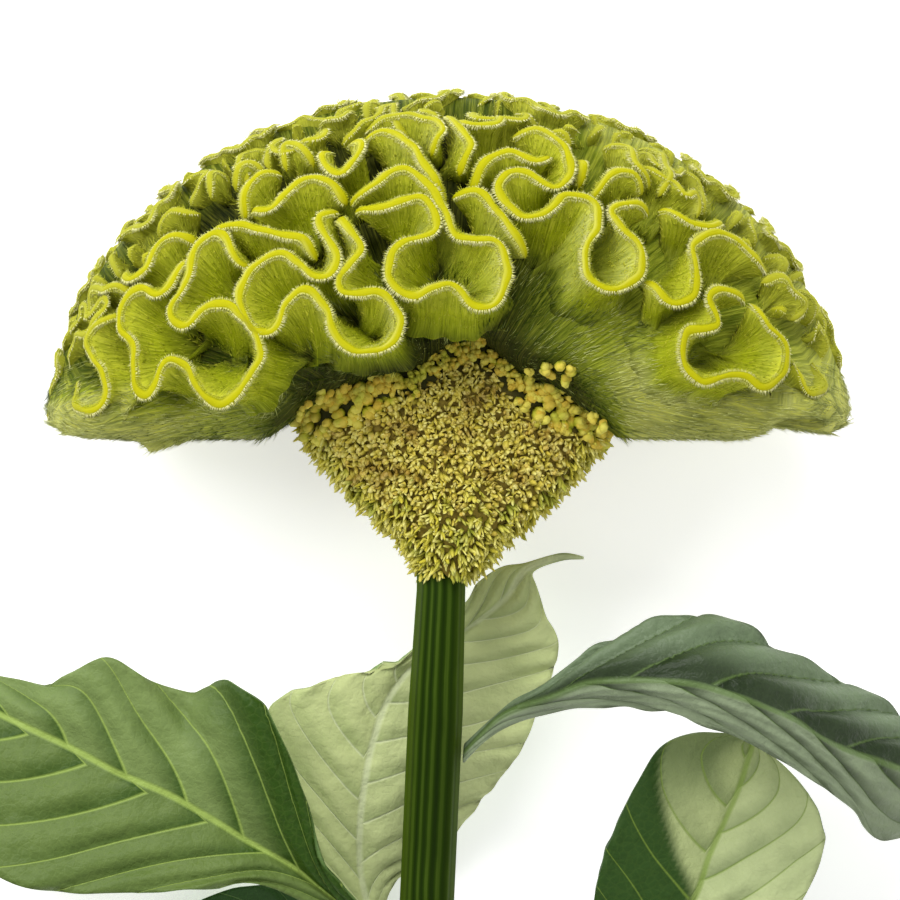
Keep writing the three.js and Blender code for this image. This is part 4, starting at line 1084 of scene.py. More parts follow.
def flesh_surface(around=FLESH_AROUND, over=FLESH_OVER):
    """Rings of points round the y axis, from the underside's pole to the top's pole. Each ray's length
    is found by halving: each time the half that holds the surface is kept."""
    turn = np.linspace(0, 2 * np.pi, around, endpoint=False)
    rise = np.linspace(-np.pi / 2, np.pi / 2, over + 2)[1:-1]
    ways = np.stack(
        [
            np.cos(rise)[:, None] * np.cos(turn)[None, :],
            np.repeat(np.sin(rise)[:, None], around, axis=1),
            -np.cos(rise)[:, None] * np.sin(turn)[None, :],
        ],
        axis=-1,
    )
    inside = np.zeros(ways.shape[:2])
    outside = np.full(ways.shape[:2], 1.2 * DOME_HALF_WIDTH)
    for _ in range(HALVINGS):
        middle = (inside + outside) / 2
        is_inside = in_flesh(FLESH_MIDDLE + ways * middle[..., None])
        inside = np.where(is_inside, middle, inside)
        outside = np.where(is_inside, outside, middle)
    return FLESH_MIDDLE + ways * inside[..., None]


flesh = flesh_surface()
flesh[..., 2] = np.maximum(flesh[..., 2], FLESH_TABLE_GAP)
flesh_points = tube_points(flesh)
mesh_piece(
    "comb_flesh",
    flesh_points,
    tube_faces(*flesh.shape[:2]),
    comb_velvet,
    ["comb"],
    {"bare": np.ones(len(flesh_points))} | flesh_marks(flesh_points),
)

# %% [markdown]
# ## Hairs
# Three kinds of hair grow on the comb. A dense fringe stands out on both edges of every lip, a finer down
# lies on the walls with its tips towards the lip, and long hairs cover the skirt. A particle system would
# be quick to set up, but it isn't mesh, so it can't be handed on with the model. Here each hair is a
# closed spike of three sides, and all the hairs of one kind are one mesh worked out in a few table
# operations.

# %% Spikes and places to grow them


def sown_places(quad_corners, weights, count, random):
    """Random places on a patchwork of quads: each draw picks a quad in proportion to its weight and then
    a place in it by two shares. Returns the quads' numbers and the places."""
    chances = np.cumsum(weights)
    picks = np.searchsorted(chances, random.random(count) * chances[-1])
    u, v = random.random((2, count))
    shares = np.stack([(1 - u) * (1 - v), u * (1 - v), u * v, (1 - u) * v], axis=1)
    places = (quad_corners[picks] * shares[:, :, None]).sum(axis=1)
    return picks, places


def spike_table(roots, ways, lengths, widths, random):
    """Each spike is three root corners on a small circle round its root and one tip."""
    ways = unit(ways)
    aside = unit(np.cross(ways, random.normal(size=ways.shape)))
    other = np.cross(ways, aside)
    turns = np.arange(3) * 2 * np.pi / 3
    circle = np.cos(turns)[None, :, None] * aside[:, None] + np.sin(turns)[None, :, None] * other[:, None]
    feet = roots[:, None] + 0.5 * widths[:, None, None] * circle
    tips = roots + ways * lengths[:, None]
    points = np.concatenate([feet, tips[:, None]], axis=1).reshape(-1, 3)
    pattern = np.array([[0, 1, 3], [1, 2, 3], [2, 0, 3], [2, 1, 0]])
    faces = (4 * np.arange(len(roots)))[:, None, None] + pattern[None]
    return points, faces.reshape(-1, 3)


def spike_marks(values):
    """A number for each spike, given to its four points."""
    return np.repeat(values, 4)


# %% Hair material


def hair_material(name, dark, pale):
    """Hair: each takes its tone between two colours from a mark, which holds painted light and shade as well
    as each hair's own share.
    """
    material, tree, shader = new_material(name, Roughness=0.6, Specular_IOR_Level=0.1)
    colour = mixed(tree, mark_value(tree, "tone"), dark, pale)
    tree.links.new(colour, shader.inputs["Base Color"])
    return material


fringe_cream = hair_material("fringe cream", srgb(186, 190, 10), srgb(236, 234, 172))
down_pale = hair_material("pale down", srgb(140, 154, 2), srgb(226, 224, 78))
skirt_silver = hair_material("silver down", srgb(62, 84, 2), srgb(218, 222, 136))

# %% [markdown]
# ### The fringe
# A bristly line follows both edges of every lip. On the outside of a loop it is painted whitish, as light
# caught in the hairs, and on the inside it keeps the lime green of the wall. A white line in the material
# would be simpler, but only real hairs break the outline of the lip. They stand in rows on the mesh's own
# rows of points, so they follow every turn.

# %% The fringe on the lips
FRINGE_LENGTH = (0.55, 0.95)
FRINGE_WIDTH = 0.3
FRINGE_SHAKE = 0.1
FRINGE_SPREAD = 0.12
FRINGE_SUNK = 0.12
SHARP_BEND = 0.15
HAIR_TABLE_GAP = 0.05
# Rows of hairs: how many rows of points from the crown, and how much they rise.
FRINGE_ROWS = ((2, 0.25), (3, 0.7))
FRINGE_PITCH = 0.25


def fringe_spikes(rings, run, rows, pitch, random):
    """Hairs in rows under both edges of the lip, leaning outwards and up past it. The third table is how
    far each stands on the outside of its loop: against the line's bend, or facing down the head."""
    middle = (rings.shape[1] - 1) // 2
    bend = np.gradient(np.gradient(rings[:, middle], run, axis=0), run, axis=0)
    roots, ways, outside = [], [], []
    for sign in (-1, 1):
        for row, rise in rows:
            edge = middle + sign * row
            at = np.arange(0.5, run[-1] - 0.5, pitch)
            at = at + random.normal(0, FRINGE_SHAKE, len(at))
            place, centre, low = (
                np.stack([np.interp(at, run, rings[:, column, k]) for k in range(3)], axis=1)
                for column in (edge, middle, edge + sign)
            )
            outward = unit(place - centre)
            upward = unit(place - low)
            roots.append(place - FRINGE_SUNK * outward)
            ways.append(outward + rise * upward + random.normal(0, FRINGE_SPREAD, place.shape))
            bend_here = np.stack([np.interp(at, run, bend[:, k]) for k in range(3)], axis=1)
            against = np.clip(-(bend_here * outward).sum(axis=1) / SHARP_BEND, -1, 1)
            outside.append(np.clip(0.5 + 0.4 * against - 0.4 * outward[:, 1], 0, 1))
    return np.concatenate(roots), np.concatenate(ways), np.concatenate(outside)


def add_fringe(name, its_walls, rows, pitch, seed):
    """The fringe of all the walls of one list, as one piece. The hairs on the outside of a loop are longer
    and painted paler, as light caught in them, and every tip is paler than its root."""
    random = np.random.default_rng(seed)
    grown = [fringe_spikes(rings, run, rows, pitch, random) for rings, run, _, _ in its_walls]
    roots, ways, outside = (np.concatenate(tables) for tables in zip(*grown))
    lengths = random.uniform(*FRINGE_LENGTH, len(roots)) * (0.7 + 0.5 * outside)
    points, faces = spike_table(roots, ways, lengths, np.full(len(roots), FRINGE_WIDTH), random)
    points[:, 2] = np.maximum(points[:, 2], HAIR_TABLE_GAP)
    tone = spike_marks(outside * random.uniform(0.5, 1, len(roots)))
    tone[3::4] += 0.2
    mesh_piece(name, points, [faces], fringe_cream, marks={"tone": tone})


add_fringe("comb_fringe", walls, FRINGE_ROWS, FRINGE_PITCH, 11)

# %% [markdown]
# The smaller folds sit lower and further back, so one row of hairs is enough for them.

# %% Fringe of the smaller folds
SMALL_FRINGE_ROWS = ((2, 0.4),)
SMALL_FRINGE_PITCH = 0.4
add_fringe("comb_small_fringe", small_walls, SMALL_FRINGE_ROWS, SMALL_FRINGE_PITCH, 12)

# %% [markdown]
# ### The down
# Under the lips the walls look like velvet, because short hairs lie on them. Relief in the material gives
# the fine grain, and these hairs stand over it where the eye meets a wall's outline. They are sown at
# random on the walls' own faces, in proportion to the area, so no rows show.

# %% Faces to sow hairs on
DOWN_DEPTHS = (1.0, 12.0)


def quad_corners_of(points):
    """The four corners of every quad of a table of points."""
    a, b = points[:-1, :-1], points[1:, :-1]
    c, d = points[1:, 1:], points[:-1, 1:]
    return np.stack([a, b, c, d], axis=2)


def wall_quads(rings, ring_depths):
    """A wall's quads, the way up to the lip on each, which is along the columns up to the crown and
    against them beyond it, and the mean depth of each."""
    corners = quad_corners_of(rings)
    a, b, c, d = (corners[:, :, k] for k in range(4))
    sign = np.where(np.arange(rings.shape[1] - 1) < (rings.shape[1] - 1) // 2, 1, -1)
    up = unit(((d + c - a - b) * sign[None, :, None]).reshape(-1, 3))
    depth = quad_corners_of(ring_depths).reshape(-1, 4).mean(axis=1)
    return corners.reshape(-1, 4, 3), up, depth


def face_normals(corners):
    """Area and outward direction of quads, from their diagonals."""
    cross = np.cross(corners[:, 2] - corners[:, 0], corners[:, 3] - corners[:, 1])
    return 0.5 * np.linalg.norm(cross, axis=1), unit(cross)


tables = [wall_quads(rings, ring_depths) for rings, _, ring_depths, _ in walls + small_walls]
quad_corners, quad_up, quad_depths = (np.concatenate(parts) for parts in zip(*tables))
quad_areas, quad_normals = face_normals(quad_corners)
quad_heights = quad_corners[..., 2].mean(axis=1)
outside_flesh = ~in_flesh(quad_corners.mean(axis=1))
is_downy = (quad_depths > DOWN_DEPTHS[0]) & (quad_depths < DOWN_DEPTHS[1]) & outside_flesh
print(f"downy wall: {(quad_areas * is_downy).sum() / 100:.0f} cm2")

# %% Down on the walls
DOWN_FACE_COUNT = 34000
DOWN_BACK_COUNT = 7000
FACE_SIDE_Z = 40.0
HAIR_SUNK = 0.1
DOWN_LIFT = (0.25, 0.7)
DOWN_SPREAD = 0.15
DOWN_LENGTH = (0.8, 2.0)
DOWN_WIDTH = 0.16


def add_hairs(name, material, roots, ways, lengths, width, tone, random):
    """One mesh of hairs from their roots, ways, lengths and tones."""
    points, faces = spike_table(roots, ways, lengths, np.full(len(roots), width), random)
    points[:, 2] = np.maximum(points[:, 2], HAIR_TABLE_GAP)
    marks = {"tone": spike_marks(np.clip(tone, 0, 1))}
    mesh_piece(name, points, [faces], material, marks=marks)


def add_down(name, chosen, count, seed):
    """Short hairs on the chosen quads, lying towards the lip and lifted off the wall. They are paler near
    the lip and darker with depth, as painted shade, and paler on walls that face left, as painted light from
    the left."""
    random = np.random.default_rng(seed)
    picks, places = sown_places(quad_corners, quad_areas * chosen, count, random)
    lift = random.uniform(*DOWN_LIFT, count)[:, None]
    ways = quad_up[picks] + lift * quad_normals[picks] + random.normal(0, DOWN_SPREAD, (count, 3))
    tone = random.random(count) * 1.2 - quad_depths[picks] / 30
    tone += 0.6 * smooth_step(-quad_normals[picks, 0], 0.2, 0.9)
    lengths = random.uniform(*DOWN_LENGTH, count)
    roots = places - HAIR_SUNK * quad_normals[picks]
    add_hairs(name, down_pale, roots, ways, lengths, DOWN_WIDTH, tone, random)


add_down("comb_down_face", is_downy & (quad_heights > FACE_SIDE_Z), DOWN_FACE_COUNT, 21)
add_down("comb_down_back", is_downy & (quad_heights <= FACE_SIDE_Z), DOWN_BACK_COUNT, 22)

# %% [markdown]
# ### Fur of the skirt
# On the skirt the hairs are longer and lie close. They flow away from the fan like combed fur, painted dark
# with shade in the hollow under the lips and whitish towards the margin. They are sown on the flesh and on
# the feet of the walls alike, so that no line shows where one passes into the other. Combing by hand would
# do too, but one centre of flow gives the same lie in a single line.

# %% Where the fur grows
SKIRT_COUNT = 20000
SKIRT_OVER_RIM = 9.0
SKIRT_OVER_FAN = 0.5
FAN_REACH_X = 33.0
FOOT_LEAST_DEPTH = 5.0
FOOT_MOST_GAP = 2.5
FOOT_LEAST_Z = 48.0

closed_flesh = np.concatenate([flesh, flesh[:, :1]], axis=1)
flesh_corners = quad_corners_of(closed_flesh).reshape(-1, 4, 3)
flesh_areas, flesh_normals = face_normals(flesh_corners)
from_middle = flesh_corners.mean(axis=1) - FLESH_MIDDLE
flesh_normals *= np.sign((from_middle * flesh_normals).sum(axis=1))[:, None]
is_foot = (quad_depths > FOOT_LEAST_DEPTH) & (quad_heights > FOOT_LEAST_Z)
is_foot &= flesh_gap(quad_corners.mean(axis=1)) < FOOT_MOST_GAP
skirt_corners = np.concatenate([flesh_corners, quad_corners[is_foot]])
skirt_areas = np.concatenate([flesh_areas, quad_areas[is_foot]])
skirt_normals = np.concatenate([flesh_normals, quad_normals[is_foot]])
skirt_x, skirt_y, _ = skirt_corners.mean(axis=1).T
is_skirt = (skirt_y > fan_outline(skirt_x) + SKIRT_OVER_FAN) | (np.abs(skirt_x) > FAN_REACH_X)
is_skirt &= skirt_y < rim_height(skirt_x) + SKIRT_OVER_RIM
print(f"skirt: {(skirt_areas * is_skirt).sum() / 100:.0f} cm2")

# %% Long hairs on the skirt
FUR_CENTRE = np.array([0.0, 38.0, 30.0])
FUR_LIFT = (0.1, 0.45)
FUR_SPREAD = 0.1
FUR_LENGTH = (1.2, 3.2)
FUR_WIDTH = 0.19


def fur_tone(places, random):
    """Tone of each hair: mostly dark with a few pale ones, paler where the flesh's painted shade is light,
    and in clumps, as two crossing waves of the flow's sweep and reach."""
    marks = flesh_marks(places)
    clumps = np.sin(0.5 * marks["sweep"] + 0.15 * marks["reach"])
    clumps += np.sin(0.23 * marks["sweep"] - 0.3 * marks["reach"])
    few_pale = 0.7 * random.random(len(places)) ** 2
    return few_pale + 0.8 * (1 - marks["shade"]) - 0.25 + 0.18 * clumps


def add_fur(name, seed):
    """Hairs that lie along the skirt, away from the fur's centre: each way is the offset from it less its
    share along the normal."""
    random = np.random.default_rng(seed)
    picks, places = sown_places(skirt_corners, skirt_areas * is_skirt, SKIRT_COUNT, random)
    normals = skirt_normals[picks]
    combed = places - FUR_CENTRE
    combed -= (combed * normals).sum(axis=1, keepdims=True) * normals
    lift = random.uniform(*FUR_LIFT, SKIRT_COUNT)[:, None]
    ways = unit(combed) + lift * normals + random.normal(0, FUR_SPREAD, (SKIRT_COUNT, 3))
    tone = fur_tone(places, random)
    lengths = random.uniform(*FUR_LENGTH, SKIRT_COUNT)
    add_hairs(name, skirt_silver, places - HAIR_SUNK * normals, ways, lengths, FUR_WIDTH, tone, random)


add_fur("comb_skirt_hairs", 25)

# %% [markdown]
# ## The fan of florets
# Under the comb the head narrows like a fan down to the neck, and its skin is packed with small papery
# florets. Those on the upper edge are plump buds, those in the middle have opened into three straw
# coloured tepals, and the lowest ones hang down as narrow prongs. All follow one rule, a small spindle
# turned from a profile, set in shaken rows round the fan, so that only the profile and the way it leans
# tell them apart. One floret copied over the fan would be quicker, but then all would be equal.

# %% The fan's body
# Heights, then the skin's half width, half depth and middle at each.
FAN_HALF_WIDTHS = (
    (-1, 3, 5, 8, 12, 16, 24, 30, 36, 56),
    (3.6, 4.5, 6.0, 8.2, 12.2, 16.4, 24.4, 29.4, 31.0, 30.0),
)
FAN_HALF_DEPTHS = ((-1, 3, 6, 12, 30, 40, 56), (3.6, 4.5, 6.4, 8.4, 11.6, 13.0, 11.0))
FAN_MIDDLES = ((-1, 3, 5, 12, 30, 56), (-1.6, -0.6, 0.6, 1.4, 1.4, 0.0))
FAN_SPAN = (-1, 54)
FAN_ROWS = 34
FAN_COLUMNS = 56
FAN_RIM = (4.0, 9.0)
FAN_BROWN = srgb(134, 116, 36)
FAN_HOLLOW_SHADE = srgb(58, 60, 8)


def fan_skin(heights, turns):
    """Points on the fan's skin: an ellipse whose two half sizes and middle are read off by height."""
    x = np.interp(heights, *FAN_MIDDLES) + np.interp(heights, *FAN_HALF_WIDTHS) * np.cos(turns)
    z = DOME_MIDDLE[2] - np.interp(heights, *FAN_HALF_DEPTHS) * np.sin(turns)
    return np.stack([x, heights + 0 * turns, z], axis=-1)


def below_edge(places):
    """How far a place lies under the fan's upper edge."""
    return fan_outline(places[:, 0]) - places[:, 1]


def fan_material():
    """Brown skin, with painted shade in the hollow between the buds at the upper edge."""
    material, tree, shader = new_material("fan skin", Roughness=0.85)
    colour = mixed(tree, mark_value(tree, "rim"), FAN_BROWN, FAN_HOLLOW_SHADE)
    tree.links.new(colour, shader.inputs["Base Color"])
    return material


fan_heights = np.linspace(*FAN_SPAN, FAN_ROWS)[:, None]
fan_turns = np.linspace(0, 2 * np.pi, FAN_COLUMNS, endpoint=False)[None, :]
fan_points = tube_points(fan_skin(*np.broadcast_arrays(fan_heights, fan_turns)))
skin_faces = tube_faces(FAN_ROWS, FAN_COLUMNS)
# The rim mark is the share of painted shade in the hollow under the fan's upper edge.
fan_marks = {"rim": 1 - smooth_step(below_edge(fan_points), *FAN_RIM)}
mesh_piece("fan_body", fan_points, skin_faces, fan_material(), ["florets"], fan_marks)

# %% Spindles


def spindle_table(roots, ways, lengths, radii, profile, sides, flatness, random):
    """Small spindles. The profile lists (share of the length, share of the radius) from the root to the
    tip; each ring is squeezed to its flatness along one side."""
    ways = unit(ways)
    aside = unit(np.cross(ways, random.normal(size=ways.shape)))
    other = np.cross(ways, aside) * flatness
    along, wide = np.array(profile).T
    turns = np.arange(sides) * 2 * np.pi / sides
    circle = np.cos(turns)[:, None] * aside[:, None] + np.sin(turns)[:, None] * other[:, None]
    middles = roots[:, None] + ways[:, None] * (lengths[:, None] * along[None])[..., None]
    reach = (radii[:, None] * wide[None, 1:-1])[..., None, None]
    rings = middles[:, 1:-1, None] + reach * circle[:, None]
    levels = len(profile) - 2
    points = np.concatenate([rings.reshape(len(roots), -1, 3), middles[:, [0, -1]]], axis=1)
    quads, caps = tube_faces(levels, sides)
    step = (np.arange(len(roots)) * points.shape[1])[:, None, None]
    faces = [(step + quads).reshape(-1, 4), (step + caps).reshape(-1, 3)]
    along_marks = np.concatenate([np.repeat(along[1:-1], sides), along[[0, -1]]])
    tone = np.repeat(random.random(len(roots)), points.shape[1])
    return points.reshape(-1, 3), faces, {"along": np.tile(along_marks, len(roots)), "tone": tone}


# Share of the length and share of the radius, from the root to the tip.
BUD_PROFILE = ((-0.3, 0), (-0.1, 0.6), (0.3, 1), (0.75, 0.95), (1.0, 0.55), (0.9, 0))
TEPAL_PROFILE = ((-0.3, 0), (0.0, 0.7), (0.5, 1), (0.85, 0.6), (1.0, 0))

# %% [markdown]
# ### Finish of the florets
# The florets dry from the tip, so each is greenish at its root and straw or amber at its tip, and whole
# patches turn earlier. A random colour for each would lose both, so the colour runs along each spindle
# and blotches over the fan turn some.

# %% Floret colours


def floret_material(name, root, waist, tip, other_tip, patch):
    """Colour along each spindle from its root to its tip; the tips vary between two colours, and here
    and there a patch of florets has turned another."""
    material, tree, shader = new_material(name, Roughness=0.75, Specular_IOR_Level=0.25)
    along, tone = mark_value(tree, "along"), mark_value(tree, "tone")
    first = ramp(tree, along, [(0.0, root), (0.35, waist), (0.8, tip), (1.0, tip)])
    second = ramp(tree, along, [(0.0, root), (0.35, waist), (0.7, other_tip), (1.0, other_tip)])
    turned = stretched(tree, use_group(tree, BLOTCHES, Size=5.0), 0.55, 1.0, top=0.8)
    florets = mixed(tree, turned, mixed(tree, tone, first, second), patch)
    tree.links.new(florets, shader.inputs["Base Color"])
    return material


# Root, waist, tip, the other tip and the patches.
FLORET_COLOURS = {
    "bud yellow": ((84, 90, 6), (182, 184, 46), (222, 214, 92), (212, 180, 60), (182, 188, 54)),
    "bud cream": ((96, 88, 20), (184, 174, 68), (228, 218, 132), (210, 186, 84), (166, 130, 48)),
    "tepal straw": ((104, 88, 18), (184, 172, 58), (230, 222, 130), (208, 190, 70), (142, 108, 36)),
    "prong green": ((100, 96, 14), (182, 176, 56), (232, 226, 140), (204, 192, 58), (140, 152, 40)),
}
bud_yellow, bud_cream, tepal_straw, prong_green = (
    floret_material(name, *(srgb(*colour) for colour in colours)) for name, colours in FLORET_COLOURS.items()
)

# %% Rows round the fan
FAN_LOWEST = 3.6
FAN_HIGHEST = 52
ROW_PITCH = 0.87
ROW_SHAKE = 0.18


def fan_places(pitch, random):
    """Heights and turns of places in rows round the fan, each row half a pitch on, all a little shaken."""
    heights, turns = [], []
    fine = np.linspace(0, 2 * np.pi, 361)
    for row, height in enumerate(np.arange(FAN_LOWEST, FAN_HIGHEST, ROW_PITCH * pitch)):
        ring = fan_skin(np.full(len(fine), height), fine)
        run = np.concatenate([[0], np.cumsum(np.linalg.norm(np.diff(ring, axis=0), axis=1))])
        count = int(run[-1] / pitch)
        at = np.arange(count) + 0.5 * (row % 2) + random.normal(0, ROW_SHAKE, count)
        turns.append(np.interp((at / count % 1) * run[-1], run, fine))
        heights.append(height + random.normal(0, ROW_SHAKE * pitch, count))
    return np.clip(np.concatenate(heights), FAN_LOWEST, FAN_HIGHEST), np.concatenate(turns)


def fan_outward(heights, turns):
    """The way out of the fan's skin: across its two tangents."""
    by_turn = fan_skin(heights, turns + 0.01) - fan_skin(heights, turns - 0.01)
    by_height = fan_skin(heights + 0.5, turns) - fan_skin(heights - 0.5, turns)
    return unit(np.cross(by_turn, by_height))


# %% [markdown]
# ### Where each floret grows
# Plump buds keep to the rim, smaller buds and open tepals share the middle, and prongs hang at the bottom
# and on the two sides. Each kind could be placed by hand, but a test on the place does the same and can be
# read: it says yes or no for every place of a row.

# %% Tests on a place


def bud_rim(places):
    """How far below the edge the plump buds reach: a narrow rim at the middle, wider at both sides."""
    return 4.2 + 3.0 * smooth_step(np.abs(places[:, 0]), 6, 16)


def bud_size(places):
    """The buds are finer under the peak of the edge than at its two sides."""
    return 0.62 + 0.38 * smooth_step(np.abs(places[:, 0] - 2), 8, 18)


def beside_middle(places):
    """0 at the middle of the fan's face and 1 on its two sides."""
    half_width = np.interp(places[:, 1], *FAN_HALF_WIDTHS)
    return np.abs(places[:, 0] - np.interp(places[:, 1], *FAN_MIDDLES)) / half_width


def hangs_low(places):
    """True for the lowest florets, up to a ragged line, and higher up for those on the two sides."""
    ragged = 3 * np.sin(0.9 * places[:, 0]) + 3 * np.sin(2.3 * places[:, 0] + 1.7 * places[:, 1])
    return (places[:, 1] + ragged < 17) | ((beside_middle(places) > 0.86) & (places[:, 1] < 33))


def is_bud(places):
    """The rim, and a little above the edge."""
    return (below_edge(places) > -2.5) & (below_edge(places) < bud_rim(places))


def is_small_bud(places):
    """Below the rim, but not where prongs hang."""
    return (below_edge(places) >= bud_rim(places)) & ~hangs_low(places)


def is_tepal(places):
    """As the small buds, and a millimetre into the rim."""
    return (below_edge(places) >= bud_rim(places) - 1) & ~hangs_low(places)


def is_prong(places):
    """Where florets hang low, short of the edge."""
    return (below_edge(places) >= 2) & hangs_low(places)


# %% The florets
DROOP = 1.1
DROOP_LOSS = 1.05
DROOP_GONE = (2, 26)
SIDE_DROOP = 0.8
SIDE_DROOP_FROM = (0.75, 0.95)
FLORET_SHAKE = 0.28
# Pitch of the places, spindles at each and how far they spread apart, then their lengths and radii, the
# corners of their rings and how flat they are.
BUD_FORM = {"pitch": 2.5, "parts": 3, "spread": 0.3, "lengths": (1.8, 3.2), "radii": (0.95, 1.4)}
BUD_FORM |= {"sides": 6, "flatness": 0.8}
SMALL_BUD_FORM = {"pitch": 2.9, "parts": 2, "spread": 0.4, "lengths": (1.3, 2.2), "radii": (0.5, 0.78)}
SMALL_BUD_FORM |= {"sides": 6, "flatness": 0.8}
TEPAL_FORM = {"pitch": 1.32, "parts": 3, "spread": 0.62, "lengths": (1.2, 2.7), "radii": (0.42, 0.8)}
TEPAL_FORM |= {"sides": 4, "flatness": 0.5}
PRONG_FORM = {"pitch": 1.4, "parts": 3, "spread": 0.42, "lengths": (1.6, 3.8), "radii": (0.33, 0.62)}
PRONG_FORM |= {"sides": 4, "flatness": 0.6}


def fan_florets(name, profile, material, is_chosen, form, seed):
    """One piece of florets of one form on the chosen places. They stand out from the skin and droop, most
    at the bottom and at the two sides."""
    random = np.random.default_rng(seed)
    heights, turns = fan_places(form["pitch"], random)
    places = fan_skin(heights, turns)
    keep = is_chosen(places)
    heights, turns, places = heights[keep], turns[keep], places[keep]
    droop = DROOP - DROOP_LOSS * smooth_step(heights, *DROOP_GONE)
    droop = droop + SIDE_DROOP * smooth_step(beside_middle(places), *SIDE_DROOP_FROM)
    ways = fan_outward(heights, turns) + droop[:, None] * np.array([0.0, -1.0, 0.0])
    ways = np.repeat(unit(ways) + random.normal(0, FLORET_SHAKE, places.shape), form["parts"], axis=0)
    ways += random.normal(0, form["spread"], ways.shape)
    roots = np.repeat(places, form["parts"], axis=0)
    lengths = random.uniform(*form["lengths"], len(roots))
    radii = random.uniform(*form["radii"], len(roots)) * (bud_size(roots) if profile is BUD_PROFILE else 1)
    shape = (profile, form["sides"], form["flatness"])
    points, faces, marks = spindle_table(roots, ways, lengths, radii, *shape, random)
    print(f"{len(places)} places", end=", ")
    mesh_piece(name, points, faces, material, ["florets"], marks)


fan_florets("fan_buds", BUD_PROFILE, bud_yellow, is_bud, BUD_FORM, 31)
fan_florets("fan_small_buds", BUD_PROFILE, bud_cream, is_small_bud, SMALL_BUD_FORM, 34)
fan_florets("fan_tepals", TEPAL_PROFILE, tepal_straw, is_tepal, TEPAL_FORM, 32)
fan_florets("fan_prongs", TEPAL_PROFILE, prong_green, is_prong, PRONG_FORM, 33)

# %% [markdown]
# The uppermost buds push up in front of the skirt in an uneven row, and a few sit apart from it to the
# right. A shrinkwrap would set them on the mesh; here each is set on the flesh by walking out from the
# head's middle until the flesh ends, which needs no mesh at all.

# %% Buds on the skirt
# Places of the few that sit apart, along x and y.
STRAY_BUDS = np.array([[16.6, 43.8], [19.2, 44.9], [22.4, 45.4], [24.8, 44.2], [23.2, 42.6], [20.6, 43.4]])
EDGE_BUDS = 90
EDGE_ENDS = (-31.5, 33.5)
EDGE_SHAKE = 0.4
EDGE_RISE = (-2.4, 1.2)
EDGE_WAY = (0.0, -0.35, 1.0)
EDGE_FORM = {"parts": 3, "spread": 0.4, "lengths": (1.6, 2.8), "radii": (0.75, 1.2)}
WALK_END = 80
WALK_STEPS = 400


def on_fan_front(x, y):
    """The fan's skin at a place: the turn whose cosine is the place's share of the half width."""
    share = (x - np.interp(y, *FAN_MIDDLES)) / np.interp(y, *FAN_HALF_WIDTHS)
    return fan_skin(y, -np.arccos(np.clip(share, -1, 1)))


def on_head_front(x, y):
    """The last of many steps from the head's middle forwards that is still in the flesh, or the fan's skin
    where none is."""
    z = np.linspace(DOME_MIDDLE[2], WALK_END, WALK_STEPS)[None]
    walks = np.stack(np.broadcast_arrays(x[:, None], y[:, None], z), axis=-1)
    inside = in_flesh(walks)
    last_inside = WALK_STEPS - 1 - inside[:, ::-1].argmax(axis=1)
    on_flesh = walks[np.arange(len(walks)), last_inside]
    return np.where(inside.any(axis=1)[:, None], on_flesh, on_fan_front(x, y))


edge_random = np.random.default_rng(35)
edge_x = np.linspace(*EDGE_ENDS, EDGE_BUDS) + edge_random.normal(0, EDGE_SHAKE, EDGE_BUDS)
edge_y = fan_outline(edge_x) + edge_random.uniform(*EDGE_RISE, EDGE_BUDS)
edge_places = np.concatenate([STRAY_BUDS, np.stack([edge_x, edge_y], axis=1)])
edge_roots = np.repeat(on_head_front(*edge_places.T), EDGE_FORM["parts"], axis=0)
edge_ways = np.array(EDGE_WAY) + edge_random.normal(0, EDGE_FORM["spread"], edge_roots.shape)
edge_lengths = edge_random.uniform(*EDGE_FORM["lengths"], len(edge_roots))
edge_radii = edge_random.uniform(*EDGE_FORM["radii"], len(edge_roots)) * bud_size(edge_roots)
edge_shape = (BUD_PROFILE, BUD_FORM["sides"], BUD_FORM["flatness"])
edge_points, edge_faces, edge_marks = spindle_table(
    edge_roots, edge_ways, edge_lengths, edge_radii, *edge_shape, edge_random
)
mesh_piece("fan_edge_buds", edge_points, edge_faces, bud_yellow, (), edge_marks)

# %% [markdown]
# ## The stem
# The stem is ribbed: blunt ridges with furrows between them, dark green with paler lines. It leans a
# little aside and bends down behind the head until it lies on the surface. A curve with a round bevel
# would give the bend but no ribs, so it is a tube along that bend with a radius that swings round the
# axis, and the same angle drives the stripes.

# %% Stem surface
STEM_LENGTH = 101.0
STEM_TOP_X = -1.4
STEM_TOP_Y = 3.2
STEM_ASIDE = 4.6
STEM_RIBS = 8
RIB_HEIGHT = 0.035
FINE_RIB_HEIGHT = 0.012
STEM_RADIUS = 5.3
NECK_RADIUS = 4.7
NECK_LENGTH = 25
STEM_REST_Z = 5.5
STEM_ROWS = 90
STEM_COLUMNS = 64
# Shares of the radius from the middle of the cut end over its rounded edge, and how far that edge goes.
CUT_SHARES = [0.2, 0.5, 0.75, 0.93, 0.985, 1.0]
CUT_EDGE = 0.25
STEM_TABLE_GAP = 0.1


def stem_middle(y):
    """The stem's middle: a half cosine from the neck's height down to the surface."""
    down = np.clip(-y / STEM_LENGTH, 0, 1)
    rise = 0.5 + 0.5 * np.cos(np.pi * down)
    z = STEM_REST_Z + (DOME_MIDDLE[2] - STEM_REST_Z) * rise
    return np.stack([STEM_TOP_X - STEM_ASIDE * down, y, z], axis=-1)


